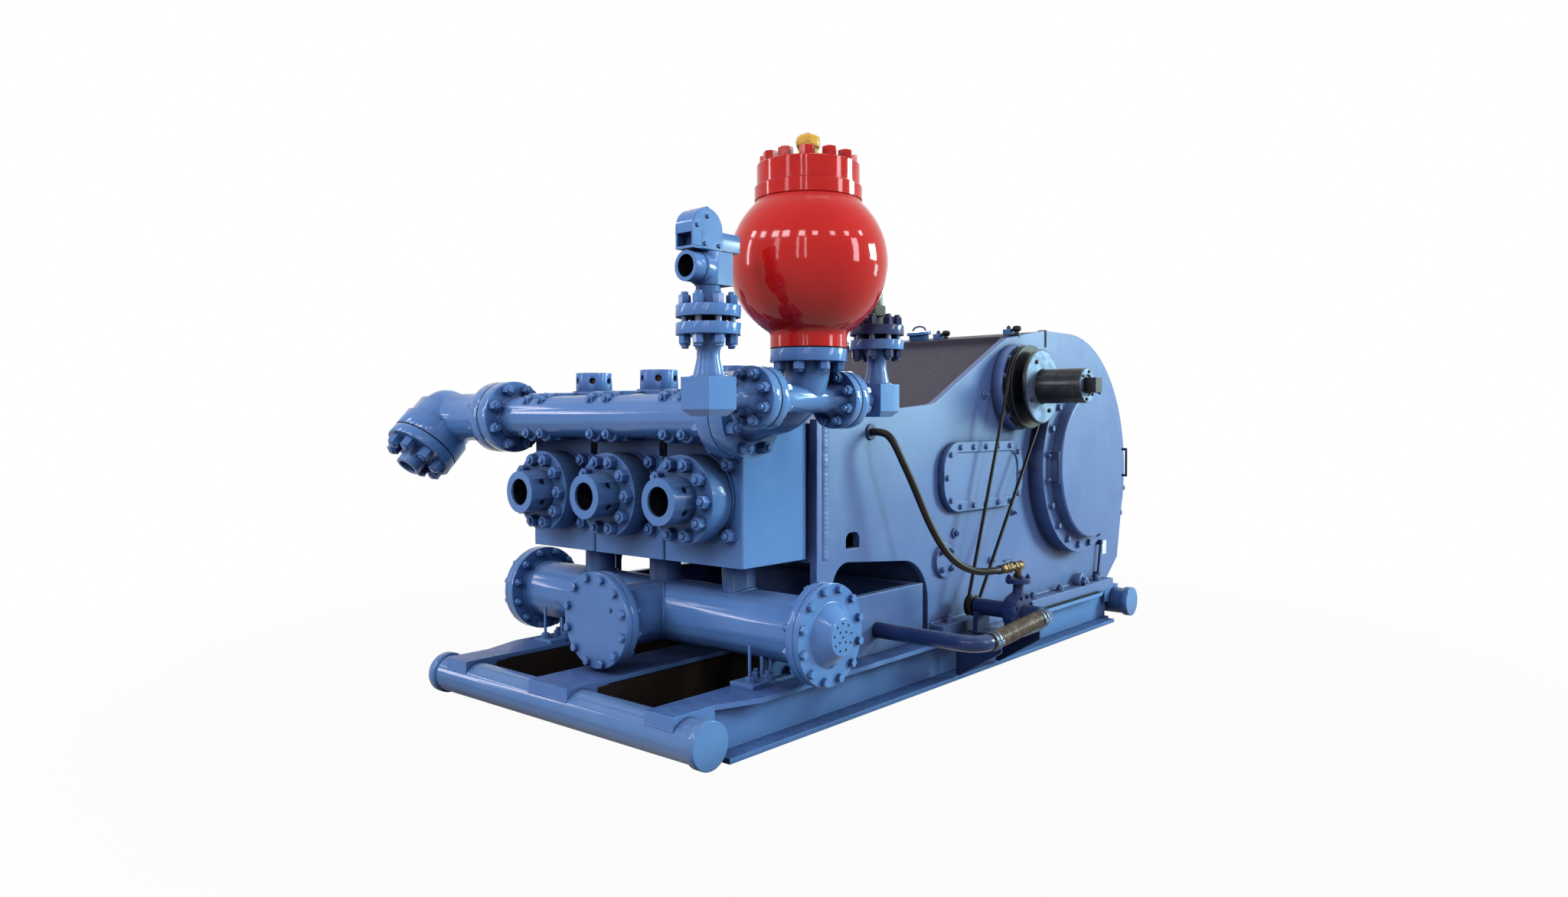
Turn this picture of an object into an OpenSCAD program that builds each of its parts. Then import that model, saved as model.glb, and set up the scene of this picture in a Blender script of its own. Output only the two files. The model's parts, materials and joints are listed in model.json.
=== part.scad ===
// Triplex single-acting mud pump on a welded skid, millimetres.
// The fluid end faces -Y, the driven side of the pinion shaft is +X, and z = 0 is the ground.

/* [Skid] */
// Distance between the axes of the two cross tubes
skid_l = 4510; // [4300:10:4800]
// How far the cross tubes reach past the side beams
tube_reach = 63; // [40:1:120]
// Outside diameter of the cross tubes
tube_d = 190; // [150:5:200]
// Height of the cross tube axes above the ground
tube_z = 137; // [125:1:150]
// Diameter of the discs that close the cross tubes
tube_cap_d = 214; // [206:2:240]
// Thickness of those discs
tube_cap_t = 50; // [20:5:60]
// Height of the longitudinal beams
beam_h = 250; // [235:5:300]
// How far the side beams' flanges reach past the side plates
beam_reach = 114; // [80:2:140]
// Width of a side beam's flanges
beam_w = 260; // [230:10:300]
// Width of a side beam's nose over the cross tube
nose_w = 180; // [140:10:220]
// Width of the centre beam
centre_w = 300; // [200:10:400]
// Thickness of the beams' flanges
beam_flange_t = 25; // [15:1:35]
// Thickness of the beams' webs
beam_web_t = 40; // [12:2:48]
// How far a nose reaches past the axis of its cross tube
nose_over = 80; // [60:5:90]
// Length of a nose behind that axis
nose_back = 170; // [140:10:240]
// Length over which a side beam's top flange widens behind its nose
nose_taper = 230; // [150:10:400]

/* [Fluid end] */
// Distance from the front cross tube's axis to the fluid modules' faces
module_set = 428; // [410:1:480]
// Distance between the axes of neighbouring modules
module_pitch = 534; // [520:1:545]
// Width of a module
module_w = 526; // [500:1:530]
// Depth of a module from front to back
module_depth = 474; // [440:2:520]
// Height of the modules' underside above the ground
module_z = 811; // [800:1:830]
// Height of a module
module_h = 844; // [820:2:900]
// Width of the bevel on a module's edges
module_bevel = 8; // [3:1:15]
// Length of the round pilot between a module and the power end
pilot_l = 28; // [15:1:40]
// Diameter of that pilot
pilot_d = 360; // [300:5:420]
// Height of the liner axes above the ground
liner_z = 1130; // [1120:1:1140]
// Diameter of a cylinder cover's flange
cover_d = 425; // [400:5:440]
// Thickness of a cylinder cover's flange
cover_t = 138; // [100:2:150]
// Diameter of the threaded ring in a cylinder cover
ring_d = 220; // [190:5:230]
// Length of that ring in front of the flange
ring_l = 144; // [110:2:160]
// Bore of that ring
ring_bore = 140; // [110:2:150]
// Depth of the bore
ring_bore_l = 150; // [120:5:200]
// Diameter of a valve cover on top of a module
valve_cover_d = 200; // [170:5:230]
// Height of a valve cover
valve_cover_h = 113; // [90:1:130]
// Distance from a module's face back to its valve cover's axis
valve_cover_back = 222; // [210:2:260]
// Diameter of the bar holes in the rings and covers
bar_hole_d = 34; // [24:1:40]

/* [Suction] */
// Outside diameter of the suction manifold
suction_d = 324; // [300:2:340]
// Height of the suction manifold's axis above the ground
suction_z = 508; // [490:1:520]
// Distance from the modules' faces back to the suction manifold's axis
suction_back = 260; // [240:5:280]
// Distance over the faces of the manifold's end flanges
suction_w = 2160; // [2100:10:2300]
// Distance from the manifold's axis forward to its branch flange's face
suction_reach = 440; // [420:5:470]
// Diameter of the suction flanges
suction_flange_d = 483; // [460:1:490]
// Thickness of the suction flanges
suction_flange_t = 40; // [28:1:50]
// Thickness of the flat covers on the suction flanges
suction_cover_t = 34; // [20:1:45]
// Depth of the dished cover on the right-hand flange
dish_l = 70; // [40:5:90]
// Diameter of the risers under the modules
riser_d = 168; // [140:2:200]
// Distance from a side beam's axis in to its manifold stand
stand_in = 50; // [20:5:80]
// Length of a stand's foot
stand_l = 250; // [220:10:300]
// Thickness of a stand's plates
stand_t = 20; // [12:1:30]

/* [Discharge] */
// Outside diameter of the discharge manifold
discharge_d = 216; // [190:2:230]
// Height of the discharge manifold's axis above the ground
discharge_z = 1526; // [1515:1:1530]
// Distance from the modules' faces forward to the discharge manifold's axis
discharge_off = 112; // [110:1:125]
// Size of the square pads that seat the manifold on the modules
pad_s = 250; // [230:5:256]
// Distance from the centre plane to the manifold's flange faces
discharge_half = 880; // [870:2:900]
// Diameter of the manifold's end flanges
discharge_flange_d = 390; // [370:5:410]
// Thickness of the manifold's end flanges
discharge_flange_t = 78; // [60:2:85]
// Gap that shows between two bolted flanges
joint_gap = 6; // [4:1:10]
// Distance from the centre plane to the corner of the left-hand elbow
elbow_x = 1500; // [1450:10:1560]
// Diameter of that elbow's neck
elbow_neck_d = 272; // [240:2:300]
// Diameter of that elbow's outlet
elbow_out_d = 372; // [350:2:390]
// Distance from the corner to the outlet's face
elbow_out_l = 213; // [200:1:240]
// Turn of the outlet from straight down towards the front
elbow_tilt = 42; // [30:1:60]
// Thickness of the outlet's companion flange
outlet_flange_t = 62; // [50:1:80]
// Outside diameter of the outlet stub
stub_d = 140; // [120:2:160]
// Bore of the outlet stub
stub_bore = 102; // [80:1:110]
// Length of the outlet stub
stub_l = 105; // [80:5:140]

/* [Pulsation dampener] */
// Distance from the centre plane to the dampener's axis
damper_x = 1285; // [1260:5:1310]
// Height of the dampener's seat above the ground
damper_z = 1803; // [1795:1:1820]
// Diameter of the dampener's ball
damper_ball_d = 664; // [620:2:680]
// Height of the ball's centre above the seat
damper_ball_h = 353; // [345:1:375]
// Diameter of the dampener's foot
damper_foot_d = 324; // [300:2:340]
// Radius of the fillet between foot and ball
damper_foot_r = 30; // [20:1:40]
// Diameter of the dampener's throat above the ball
damper_throat_d = 428; // [410:2:440]
// Radius of the fillet between ball and throat
damper_throat_r = 80; // [60:1:80]
// Diameter of the dampener's collar
damper_collar_d = 450; // [444:2:470]
// Height of the collar's underside above the seat
damper_collar_h = 645; // [645:1:665]
// Thickness of the collar
damper_collar_t = 68; // [50:1:80]
// Diameter of the bolted cover on the collar
damper_cover_d = 430; // [400:2:440]
// Thickness of the bolted cover
damper_cover_t = 86; // [60:1:100]
// Height of the charging valve's cap
damper_cap_h = 92; // [70:1:110]

/* [Discharge cross] */
// Radius of the cross's sweep from the manifold up to the dampener
sweep_r = 220; // [200:5:235]
// Diameter of the sweep
sweep_d = 184; // [170:2:200]
// Thickness of the flange under the dampener
seat_flange_t = 52; // [40:1:60]
// Height of the side branches' axis above the ground
branch_z = 1590; // [1575:1:1600]
// Distance from the dampener's axis forward to the front branch's joint
branch_front = 318; // [300:2:340]
// Distance from the dampener's axis back to the rear branch's joint
branch_rear = 216; // [205:2:240]
// Diameter of the branches' flanges
branch_flange_d = 252; // [240:2:260]
// Thickness of the branches' flanges
branch_flange_t = 48; // [40:1:55]
// Diameter of the branches' necks
branch_d = 112; // [100:2:124]
// Distance from a branch's joint to the centre of its block
block_set = 278; // [265:1:300]
// Size of a branch's block
block_s = 148; // [140:2:156]
// Bevel on the lower edges of a block
block_bevel = 26; // [10:1:36]
// Diameter of the pipe between a flange and its block
branch_pipe_d = 82; // [70:1:96]
// Height of a riser from its block to the joint of its flanges
riser_h = 200; // [190:2:230]
// Diameter of a riser's waist
riser_waist_d = 88; // [76:1:96]
// Diameter of the riser's flanges
riser_flange_d = 246; // [236:2:256]
// Thickness of the riser's flanges
riser_flange_t = 44; // [36:1:50]
// Gap that shows between the riser's flanges
riser_gap = 22; // [14:1:28]

/* [Relief valve and gauge stub] */
// Height of the relief valve's barrel above its flange
barrel_h = 200; // [190:2:230]
// Diameter of the relief valve's barrel
barrel_d = 104; // [96:1:112]
// Height of the outlet's axis above the flange
outlet_h = 138; // [130:1:146]
// Outside diameter of the outlet
outlet_d = 114; // [104:1:118]
// Bore of the outlet
outlet_bore = 84; // [70:1:90]
// Reach of the outlet from the barrel's axis
outlet_l = 118; // [110:1:140]
// Width of the hood over the relief valve
hood_w = 158; // [140:2:170]
// Length of the hood over the relief valve
hood_l = 92; // [80:2:110]
// Height of the hood's straight sides
hood_side = 76; // [60:1:90]
// Diameter of the gauge stub
stub_top_d = 52; // [40:1:70]
// Height of the gauge stub above its flange
stub_top_h = 150; // [120:5:180]

/* [Power end] */
// Width over the side plates of the power end
frame_w = 1672; // [1640:2:1690]
// Thickness of the side plates
plate_t = 45; // [30:1:60]
// Height of the deck's front edge above the ground
deck_z = 1508; // [1500:1:1520]
// Distance from the frame's front to where the hood's slope meets the deck
deck_l = 1082; // [1040:2:1120]
// Rise of the deck over that distance
deck_rise = 88; // [60:2:110]
// Length of the slope
slope_l = 856; // [820:2:900]
// Height of the slope's top above the ground
slope_z = 2026; // [2000:2:2060]
// Radius of the blend between deck and slope
slope_r = 240; // [100:10:400]
// Length of the crest from the slope's top to the level top of the rear arc
crest_l = 540; // [500:5:600]
// How far the hood's lid stands above the slope's top
lid_h = 14; // [8:1:24]
// Diameter of the breather on the lid
breather_d = 170; // [140:2:190]
// Height of the breather
breather_h = 62; // [50:1:80]
// Thickness of the breather's cap
breather_lid = 24; // [16:1:30]
// Distance from the lid's front edge to the breather's axis
breather_set = 170; // [150:5:200]
// Distance from the centre plane to the breather's axis
breather_x = 70; // [50:5:90]
// Distance from the breather's axis to the inner lifting block
eye_gap = 130; // [110:5:150]
// Size of a lifting block
eye_l = 56; // [40:2:70]
// Distance from the frame's front to the rear arc's centre
arc_set = 2870; // [2840:5:2900]
// Height of the rear arc's centre above the ground
arc_z = 1130; // [1120:1:1145]
// Radius of the rear arc
arc_r = 980; // [960:2:1000]
// Height at which the rear edge turns in towards the foot
heel_z = 448; // [420:1:480]
// Distance from the rear arc's centre back to that corner
heel_set = 852; // [840:2:870]
// Angle below level at which the rear arc ends
arc_end = 17; // [12:1:24]
// Distance from the rear arc's centre back to the end of the foot
toe_set = 580; // [550:5:620]
// Thickness of the walls, deck, hood and shell between the side plates
wall_t = 30; // [20:1:40]
// How far the hood and shell lie below the edges of the side plates
shell_inset = 22; // [10:1:40]
// Distance from the frame's front to the arch
arch_set = 130; // [110:5:160]
// Width of the arch
arch_w = 890; // [860:10:920]
// Height of the arch's crown above the ground, over its front corner
arch_z = 768; // [755:1:775]
// Radius of the arch's front corner
arch_r = 125; // [80:5:180]
// Radius of the arch's rear corner
arch_rear_r = 260; // [200:5:300]
// How much lower the crown is over the rear corner
arch_drop = 46; // [30:2:60]
// Distance from the frame's front to the blind port low on each side plate
port_set = 1180; // [1160:2:1200]
// Height of that port's axis above the ground
port_z = 685; // [670:1:700]
// Diameter of that port's flange
port_d = 200; // [170:2:220]
// Thickness of that port's flange
port_t = 22; // [14:1:30]
// Distance from the rear arc's centre back to the drain boss
drain_set = 97; // [80:1:120]
// Height of the drain boss's axis above the foot rail
drain_rise = 24; // [10:1:60]
// Diameter of the drain boss
drain_d = 118; // [100:2:130]
// Length of the drain boss
drain_l = 60; // [30:1:80]
// Width of the foot rail along each side plate
foot_w = 92; // [60:2:100]
// Height of the foot rail
foot_h = 76; // [50:1:90]
// Distance from the frame's front to the round hole for the wash hose
hose_hole_set = 457; // [440:1:470]
// Height of the wash hose hole above the ground
hose_hole_z = 1440; // [1425:1:1450]
// Diameter of the wash hose hole
hose_hole_d = 66; // [56:1:80]
// Width of the drain hole beside the crosshead chamber
dee_w = 116; // [90:2:130]
// Height of that hole
dee_h = 82; // [70:2:100]
// Radius of its upper corners
dee_r = 40; // [25:1:50]
// Distance from the frame's front to its centre
dee_set = 300; // [280:2:320]
// Height of its sill above the ground
dee_z = 838; // [830:1:850]
// Height of the wash tank
tank_h = 325; // [280:5:340]
// Clearance of the wash tank in the arch
tank_gap = 16; // [10:1:40]
// Thickness of the wash tank's walls
tank_t = 12; // [8:1:20]
// Width of the wash tank's folded rim
tank_rim = 48; // [24:1:60]

/* [Covers] */
// Width of an inspection cover
window_w = 960; // [900:10:1000]
// Height of an inspection cover
window_h = 412; // [390:2:440]
// Radius of an inspection cover's corners
window_r = 170; // [140:5:190]
// Thickness of an inspection cover's frame
window_t = 44; // [30:1:60]
// Depth of the recess inside that frame
window_recess = 10; // [5:1:12]
// Width of an inspection cover's frame
window_rim = 62; // [40:2:80]
// Clearance between an inspection cover and the main bearing cover's flange
window_gap = 152; // [100:2:180]
// Height of an inspection cover's centre above the ground
window_z = 1167; // [1150:1:1180]
// Distance from the rear arc's centre forward to the main bearing's axis
main_set = 20; // [10:2:50]
// Height of the main bearing's axis above the ground
main_z = 1192; // [1175:1:1200]
// Diameter of a main bearing cover's flange
main_flange_d = 1226; // [1180:2:1240]
// Thickness of that flange
main_flange_t = 110; // [80:1:120]
// Diameter of a main bearing cover's drum
main_drum_d = 1008; // [980:4:1020]
// Depth of a main bearing cover from plate to face
main_cover_l = 190; // [170:2:210]
// Bevel on the edge of that face
main_bevel = 10; // [4:1:16]
// Height of a bearing cover's handles
handle_h = 210; // [180:2:240]
// How far the handles stand out from the flange
handle_l = 92; // [70:1:100]
// Diameter of the handles' bar
handle_d = 18; // [12:1:24]

/* [Pinion shaft and belt] */
// Distance from the frame's front to the pinion's axis
pinion_set = 2020; // [2005:1:2030]
// Height of the pinion's axis above the ground
pinion_z = 1715; // [1708:1:1722]
// Diameter of the pinion shaft
pinion_d = 216; // [200:1:230]
// Distance from the centre plane to the ends of the pinion shaft
pinion_half = 1338; // [1300:2:1360]
// Side of the square drive on the shaft's ends
drive_s = 92; // [80:1:100]
// Length of the square drive
drive_l = 80; // [60:1:100]
// Diameter of the pinion bearing's flange
bearing_d = 548; // [520:2:560]
// Thickness of the pinion bearing's flange
bearing_t = 74; // [60:1:80]
// How far the bearing's hub stands out of that flange
bearing_hub = 10; // [4:1:14]
// Running clearance of the shaft in its bearing
bearing_gap = 0.4; // [0.3:0.1:0.8]
// Diameter of the belt pulley on the pinion shaft
pulley_d = 530; // [500:2:540]
// Width of the belt pulleys
pulley_w = 44; // [36:1:50]
// Distance from the side plate to the middle of the belt
belt_out = 114; // [110:1:120]
// Width of the belt
belt_w = 20; // [14:1:22]
// Thickness of the belt
belt_t = 14; // [10:1:18]
// Running gap between the belt and the floor of a groove
belt_gap = 0.3; // [0.3:0.1:1]
// Depth of the pulleys' grooves
groove_h = 18; // [14:1:24]
// Diameter of the thrower disc outside the pulley
disc_d = 470; // [440:2:500]
// Thickness of the thrower disc
disc_t = 22; // [14:1:30]
// Distance from the side plate to the thrower disc's outer face
disc_out = 210; // [195:1:225]

/* [Spray pump] */
// Distance from the frame's front to the spray pump's axis
spray_set = 1320; // [1310:2:1340]
// Height of the spray pump's axis above the ground
spray_z = 414; // [408:1:424]
// Diameter of the spray pump's pulley
spray_pulley_d = 128; // [116:1:136]
// Diameter of the spray pump's shaft
spray_shaft_d = 36; // [28:1:44]
// Diameter of the spray pump's bearing housing
housing_d = 98; // [86:1:104]
// Length of the bearing housing
housing_l = 240; // [220:2:260]
// Diameter of the volute
volute_d = 210; // [190:2:220]
// Width of the volute
volute_w = 74; // [60:1:90]
// Diameter of the rim between the bearing housing and the volute
housing_rim_d = 172; // [150:2:190]
// Thickness of that rim
housing_rim_t = 22; // [16:1:30]
// Diameter of the outlet neck
spray_neck_d = 60; // [50:1:70]
// Diameter of the outlet flange
spray_flange_d = 144; // [130:1:156]
// Thickness of the outlet flange
spray_flange_t = 14; // [10:1:18]
// Height of the outlet flange's top above the pump's axis
spray_flange_h = 190; // [180:1:200]
// Outside diameter of the suction pipe
spray_pipe_d = 84; // [76:1:89]
// Distance from the frame's front to the suction pipe's axis
spray_pipe_set = 520; // [510:1:530]
// Distance from the side plate to the suction hose's axis
spray_hose_out = 614; // [600:2:630]
// Radius of the suction pipe's bends
spray_bend_r = 100; // [96:1:104]
// Outside diameter of the suction hose
suction_hose_d = 94; // [92:1:104]
// Reach of the shelf from the side beam
shelf_l = 290; // [270:5:310]
// Width of the shelf along the skid
shelf_w = 560; // [520:5:600]
// Thickness of the shelf and its gussets
shelf_t = 14; // [10:1:20]

/* [Wash hose] */
// Outside diameter of the wash hose
wash_d = 40; // [36:1:44]
// Thickness and lip of the wash hose's gland
gland_t = 10; // [8:1:14]
// Diameter of the brass valve's body
valve_d = 44; // [40:1:50]
// Height of the brass valve's axis above the spray pump's outlet flange
valve_rise = 70; // [60:1:80]
// Length of the brass valve and hose tail together
valve_l = 200; // [190:2:210]
// Length of the valve's lever
lever_l = 86; // [70:1:100]

/* [Hidden] */
$fn = 96;
// Gap at welded and seated curved faces, too small to see
seat = 0.3;
// Clearance of the pinion shaft in the side plates
plate_gap = 12;
// Overrun of a cutting body past the face that it cuts
over = 1;

BLUE = "#4a7fc0";
DEEP_BLUE = "#3a4f96";
RED = "#c8281f";
YELLOW = "#d9b13c";
STEEL = "#b4b4c8";
DARK = "#2a2b30";
BRASS = "#c79a4b";
RUBBER = "#2c2420";

SIDES = [-1, 1];
SEATS = [-1, 0, 1];

front_y = -skid_l / 2;
plate_x = frame_w / 2;
beam_span = 2 * (plate_x + beam_reach);
skid_w = beam_span + 2 * tube_reach;
beam_x = beam_span / 2 - beam_w / 2;
stand_x = beam_x - stand_in;
module_y = front_y + module_set;
frame_y = module_y + module_depth + pilot_l;
module_top = module_z + module_h;
suction_y = module_y + suction_back;
suction_cover_y = suction_y - suction_reach;
discharge_y = module_y - discharge_off;
inner_x = plate_x - plate_t;
arc_y = frame_y + arc_set;
main_y = arc_y - main_set;
pinion_y = frame_y + pinion_set;
spray_y = frame_y + spray_set;
belt_x = plate_x + belt_out;
spray_pipe_y = frame_y + spray_pipe_set;
spray_hose_x = plate_x + spray_hose_out;
volute_x = belt_x + pulley_w / 2 + housing_l;
branch_front_y = discharge_y - branch_front;
branch_rear_y = discharge_y + branch_rear;
relief_y = branch_front_y - block_set;
gauge_y = branch_rear_y + block_set;
riser_joint_z = branch_z + block_s / 2 + riser_h;
riser_top_z = riser_joint_z + riser_gap + riser_flange_t;
window_y = main_y - main_flange_d / 2 - window_gap - window_w / 2;
slope_y = frame_y + deck_l;
ridge_z = deck_z + deck_rise;
arc_top = arc_z + arc_r;
lid_z = arc_top - 4;
hood_end_y = arc_y - 60;
crest_y = slope_y + slope_l;
hose_hole_y = frame_y + hose_hole_set;
heel_y = arc_y + heel_set;
toe_y = arc_y + toe_set;
arch_y = frame_y + arch_set;
spray_top_z = spray_z + spray_flange_h;
outlet_x = volute_x + volute_w / 2;
valve_z = spray_top_z + valve_rise;
shelf_z = beam_h;
shelf_y = spray_y - shelf_w / 2 + 60;

// Axis of the wash hose from the gland in the side plate to the brass hose tail
WASH_ROUTE = [
    [846, -868, 1440], [890, -868, 1440], [934, -866, 1430], [968, -862, 1400], [990, -848, 1354],
    [1006, -822, 1293], [1018, -786, 1226], [1030, -748, 1154], [1042, -712, 1080], [1056, -677, 1004],
    [1074, -641, 928], [1096, -602, 854], [1122, -555, 784], [1150, -494, 728], [1180, -424, 692],
    [1208, -360, 676], [1234, -300, 674], [1249, -245, 674], [1249, -205, 674]
];

// Cylinders and cones along the axes, from a first to a second place
module x_rod(x0, x1, d) { translate([x0, 0, 0]) rotate([0, 90, 0]) cylinder(d = d, h = x1 - x0); }
module y_rod(y0, y1, d) { translate([0, y0, 0]) rotate([-90, 0, 0]) cylinder(d = d, h = y1 - y0); }
module z_rod(z0, z1, d) { translate([0, 0, z0]) cylinder(d = d, h = z1 - z0); }
module x_cone(x0, x1, d0, d1) { translate([x0, 0, 0]) rotate([0, 90, 0]) cylinder(d1 = d0, d2 = d1, h = x1 - x0); }
module y_cone(y0, y1, d0, d1) { translate([0, y0, 0]) rotate([-90, 0, 0]) cylinder(d1 = d0, d2 = d1, h = y1 - y0); }
module z_cone(z0, z1, d0, d1) { translate([0, 0, z0]) cylinder(d1 = d0, d2 = d1, h = z1 - z0); }

// Box between two corners
module box(low, high) { translate(low) cube(high - low); }

// Outline drawn in Y and Z, given a thickness along +X from x0
module yz_plate(x0, t) { translate([x0, 0, 0]) rotate([90, 0, 90]) linear_extrude(t) children(); }

// Outline drawn in X and Z, given a thickness along +Y from y0
module xz_plate(y0, t) { translate([0, y0 + t, 0]) rotate([90, 0, 0]) linear_extrude(t) children(); }

// Rectangle about the origin with round corners
module round_rect(w, h, r) {
    square([w - 2 * r, h], center = true);
    square([w, h - 2 * r], center = true);
    for (a = SIDES, b = SIDES) translate([a * (w / 2 - r), b * (h / 2 - r)]) circle(r);
}

// Box about the origin with bevelled edges along its height
module bevelled_post(w, d, h, bevel) {
    linear_extrude(h) polygon([
        for (q = [[1, 1], [-1, 1], [-1, -1], [1, -1]]) each
            (q[0] * q[1] > 0
                ? [[q[0] * w / 2, q[1] * (d / 2 - bevel)], [q[0] * (w / 2 - bevel), q[1] * d / 2]]
                : [[q[0] * (w / 2 - bevel), q[1] * d / 2], [q[0] * w / 2, q[1] * (d / 2 - bevel)]])
    ]);
}

module skid_cross_tubes() {
    color(BLUE) for (s = SIDES) translate([0, s * skid_l / 2, tube_z]) {
        x_rod(-skid_w / 2, skid_w / 2, tube_d);
        for (e = SIDES) translate([e * (skid_w - tube_cap_t) / 2, 0, 0])
            x_rod(-tube_cap_t / 2, tube_cap_t / 2, tube_cap_d);
    }
}

// Clearance bodies of both cross tubes
module tube_cuts() {
    for (s = SIDES) translate([0, s * skid_l / 2, tube_z]) x_rod(-skid_w, skid_w, tube_d + 2 * seat);
}

// One flanged beam about x = 0 with solid noses that sit over the tubes; the outer flange edges
// taper from outer_nose to outer, and the inner edge is straight
module flanged_beam(inner, outer, outer_nose) {
    nose_end = skid_l / 2 + nose_over;
    foot_end = skid_l / 2 - tube_d / 2;
    straight = skid_l / 2 - nose_back - nose_taper;
    difference() {
        union() {
            translate([0, 0, beam_h - beam_flange_t]) linear_extrude(beam_flange_t) polygon([
                [inner, -nose_end], [outer_nose, -nose_end], [outer_nose, -nose_end + nose_over + nose_back],
                [outer, -straight], [outer, straight],
                [outer_nose, nose_end - nose_over - nose_back], [outer_nose, nose_end], [inner, nose_end]
            ]);
            box([inner, -foot_end, 0], [outer_nose, foot_end, beam_flange_t]);
            box([inner, -straight, 0], [outer, straight, beam_flange_t]);
            box([(inner + outer - beam_web_t) / 2, -skid_l / 2, 0],
                [(inner + outer + beam_web_t) / 2, skid_l / 2, beam_h]);
            for (s = SIDES) box([inner, s > 0 ? skid_l / 2 - nose_back : -nose_end, tube_z],
                [outer_nose, s > 0 ? nose_end : -skid_l / 2 + nose_back, beam_h]);
        }
        tube_cuts();
        for (s = SIDES) box([inner - over, s > 0 ? foot_end : -nose_end - over, -over],
            [outer + over, s > 0 ? nose_end + over : -foot_end, tube_z + over]);
    }
}

module side_beam() { flanged_beam(beam_span / 2 - beam_w, beam_span / 2, beam_span / 2 - beam_w + nose_w); }
module skid_beam_left() { color(BLUE) mirror([1, 0, 0]) side_beam(); }
module skid_beam_right() { color(BLUE) side_beam(); }
module skid_beam_centre() { color(BLUE) flanged_beam(-centre_w / 2, centre_w / 2, centre_w / 2); }

// Two channels on each side of the centre beam, under the ends of the power end
module skid_cross_members() {
    inset = beam_flange_t + seat;
    depth = beam_h - 2 * inset;
    color(BLUE) for (y = [frame_y + arch_set / 2, toe_y - 2 * arch_set], s = SIDES) {
        x0 = beam_web_t / 2;
        x1 = beam_x - beam_web_t / 2;
        translate([s > 0 ? x0 : -x1, y, inset]) difference() {
            cube([x1 - x0, arch_set, depth]);
            translate([-over, beam_web_t, beam_web_t])
                cube([x1 - x0 + 2 * over, arch_set, depth - 2 * beam_web_t]);
        }
    }
}

// One fluid module block with bevelled edges, lifting notches and a rear pilot
module fluid_module() {
    notch_w = 22;
    notch_h = 62;
    notch_z = discharge_z - pad_s / 2 - notch_h - 12;
    difference() {
        union() {
            translate([0, module_y + module_depth / 2, module_z])
                bevelled_post(module_w, module_depth, module_h, module_bevel);
            translate([0, 0, liner_z]) y_rod(module_y + module_depth - over, frame_y, pilot_d);
        }
        for (s = SIDES) translate([s * module_w / 2, module_y, notch_z + notch_h / 2])
            cube([2 * notch_w, 3 * notch_w, notch_h], center = true);
    }
}

module fluid_module_left() { color(BLUE) translate([-module_pitch, 0, 0]) fluid_module(); }
module fluid_module_centre() { color(BLUE) fluid_module(); }
module fluid_module_right() { color(BLUE) translate([module_pitch, 0, 0]) fluid_module(); }

// Round cylinder cover with its threaded ring, bar holes and bore
module cylinder_cover() {
    face = module_y - cover_t;
    bar_y = face - ring_l * 0.45;
    translate([0, 0, liner_z]) difference() {
        union() {
            y_rod(face, module_y, cover_d);
            y_rod(face - ring_l, face + over, ring_d);
        }
        y_rod(face - ring_l - over, face - ring_l + ring_bore_l, ring_bore);
        for (a = [0 : 60 : 359]) translate([0, bar_y, 0]) rotate([0, a, 0])
            translate([0, 0, ring_bore / 2 - over]) cylinder(d = bar_hole_d, h = ring_d);
    }
}

module cylinder_cover_left() { color(BLUE) translate([-module_pitch, 0, 0]) cylinder_cover(); }
module cylinder_cover_centre() { color(BLUE) cylinder_cover(); }
module cylinder_cover_right() { color(BLUE) translate([module_pitch, 0, 0]) cylinder_cover(); }

module valve_covers() {
    hole_l = valve_cover_d * 0.3;
    color(BLUE) for (i = SEATS) translate([i * module_pitch, module_y + valve_cover_back, 0]) difference() {
        z_rod(module_top, module_top + valve_cover_h, valve_cover_d);
        for (a = [15 : 60 : 359]) rotate([0, 0, a])
            translate([valve_cover_d / 2 - hole_l, 0, module_top + valve_cover_h * 0.6])
                x_rod(0, valve_cover_d, bar_hole_d);
    }
}

module suction_manifold() {
    half = suction_w / 2;
    reach = suction_reach;
    color(BLUE) translate([0, suction_y, suction_z]) {
        x_rod(-half, half, suction_d);
        for (s = SIDES) translate([s * (half - suction_flange_t / 2), 0, 0])
            x_rod(-suction_flange_t / 2, suction_flange_t / 2, suction_flange_d);
        y_rod(-reach, 0, suction_d - 8);
        y_rod(-reach, -reach + suction_flange_t, suction_flange_d);
        for (i = SEATS) translate([i * module_pitch, 0, 0]) z_rod(0, module_z - suction_z, riser_d);
    }
}

module suction_front_cover() {
    color(BLUE) translate([0, suction_cover_y, suction_z])
        y_rod(-suction_cover_t - joint_gap / 2, 0, suction_flange_d);
}

module suction_end_cover_left() {
    color(BLUE) translate([-suction_w / 2, suction_y, suction_z]) x_rod(-suction_cover_t, 0, suction_flange_d);
}

// Right-hand cover: a flat rim with a dished middle
module suction_end_cover_right() {
    base = suction_d - 14;
    color(BLUE) translate([suction_w / 2, suction_y, suction_z]) {
        x_rod(0, suction_cover_t, suction_flange_d);
        x_cone(suction_cover_t - over, suction_cover_t + dish_l, base, base * 0.55);
    }
}

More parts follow.
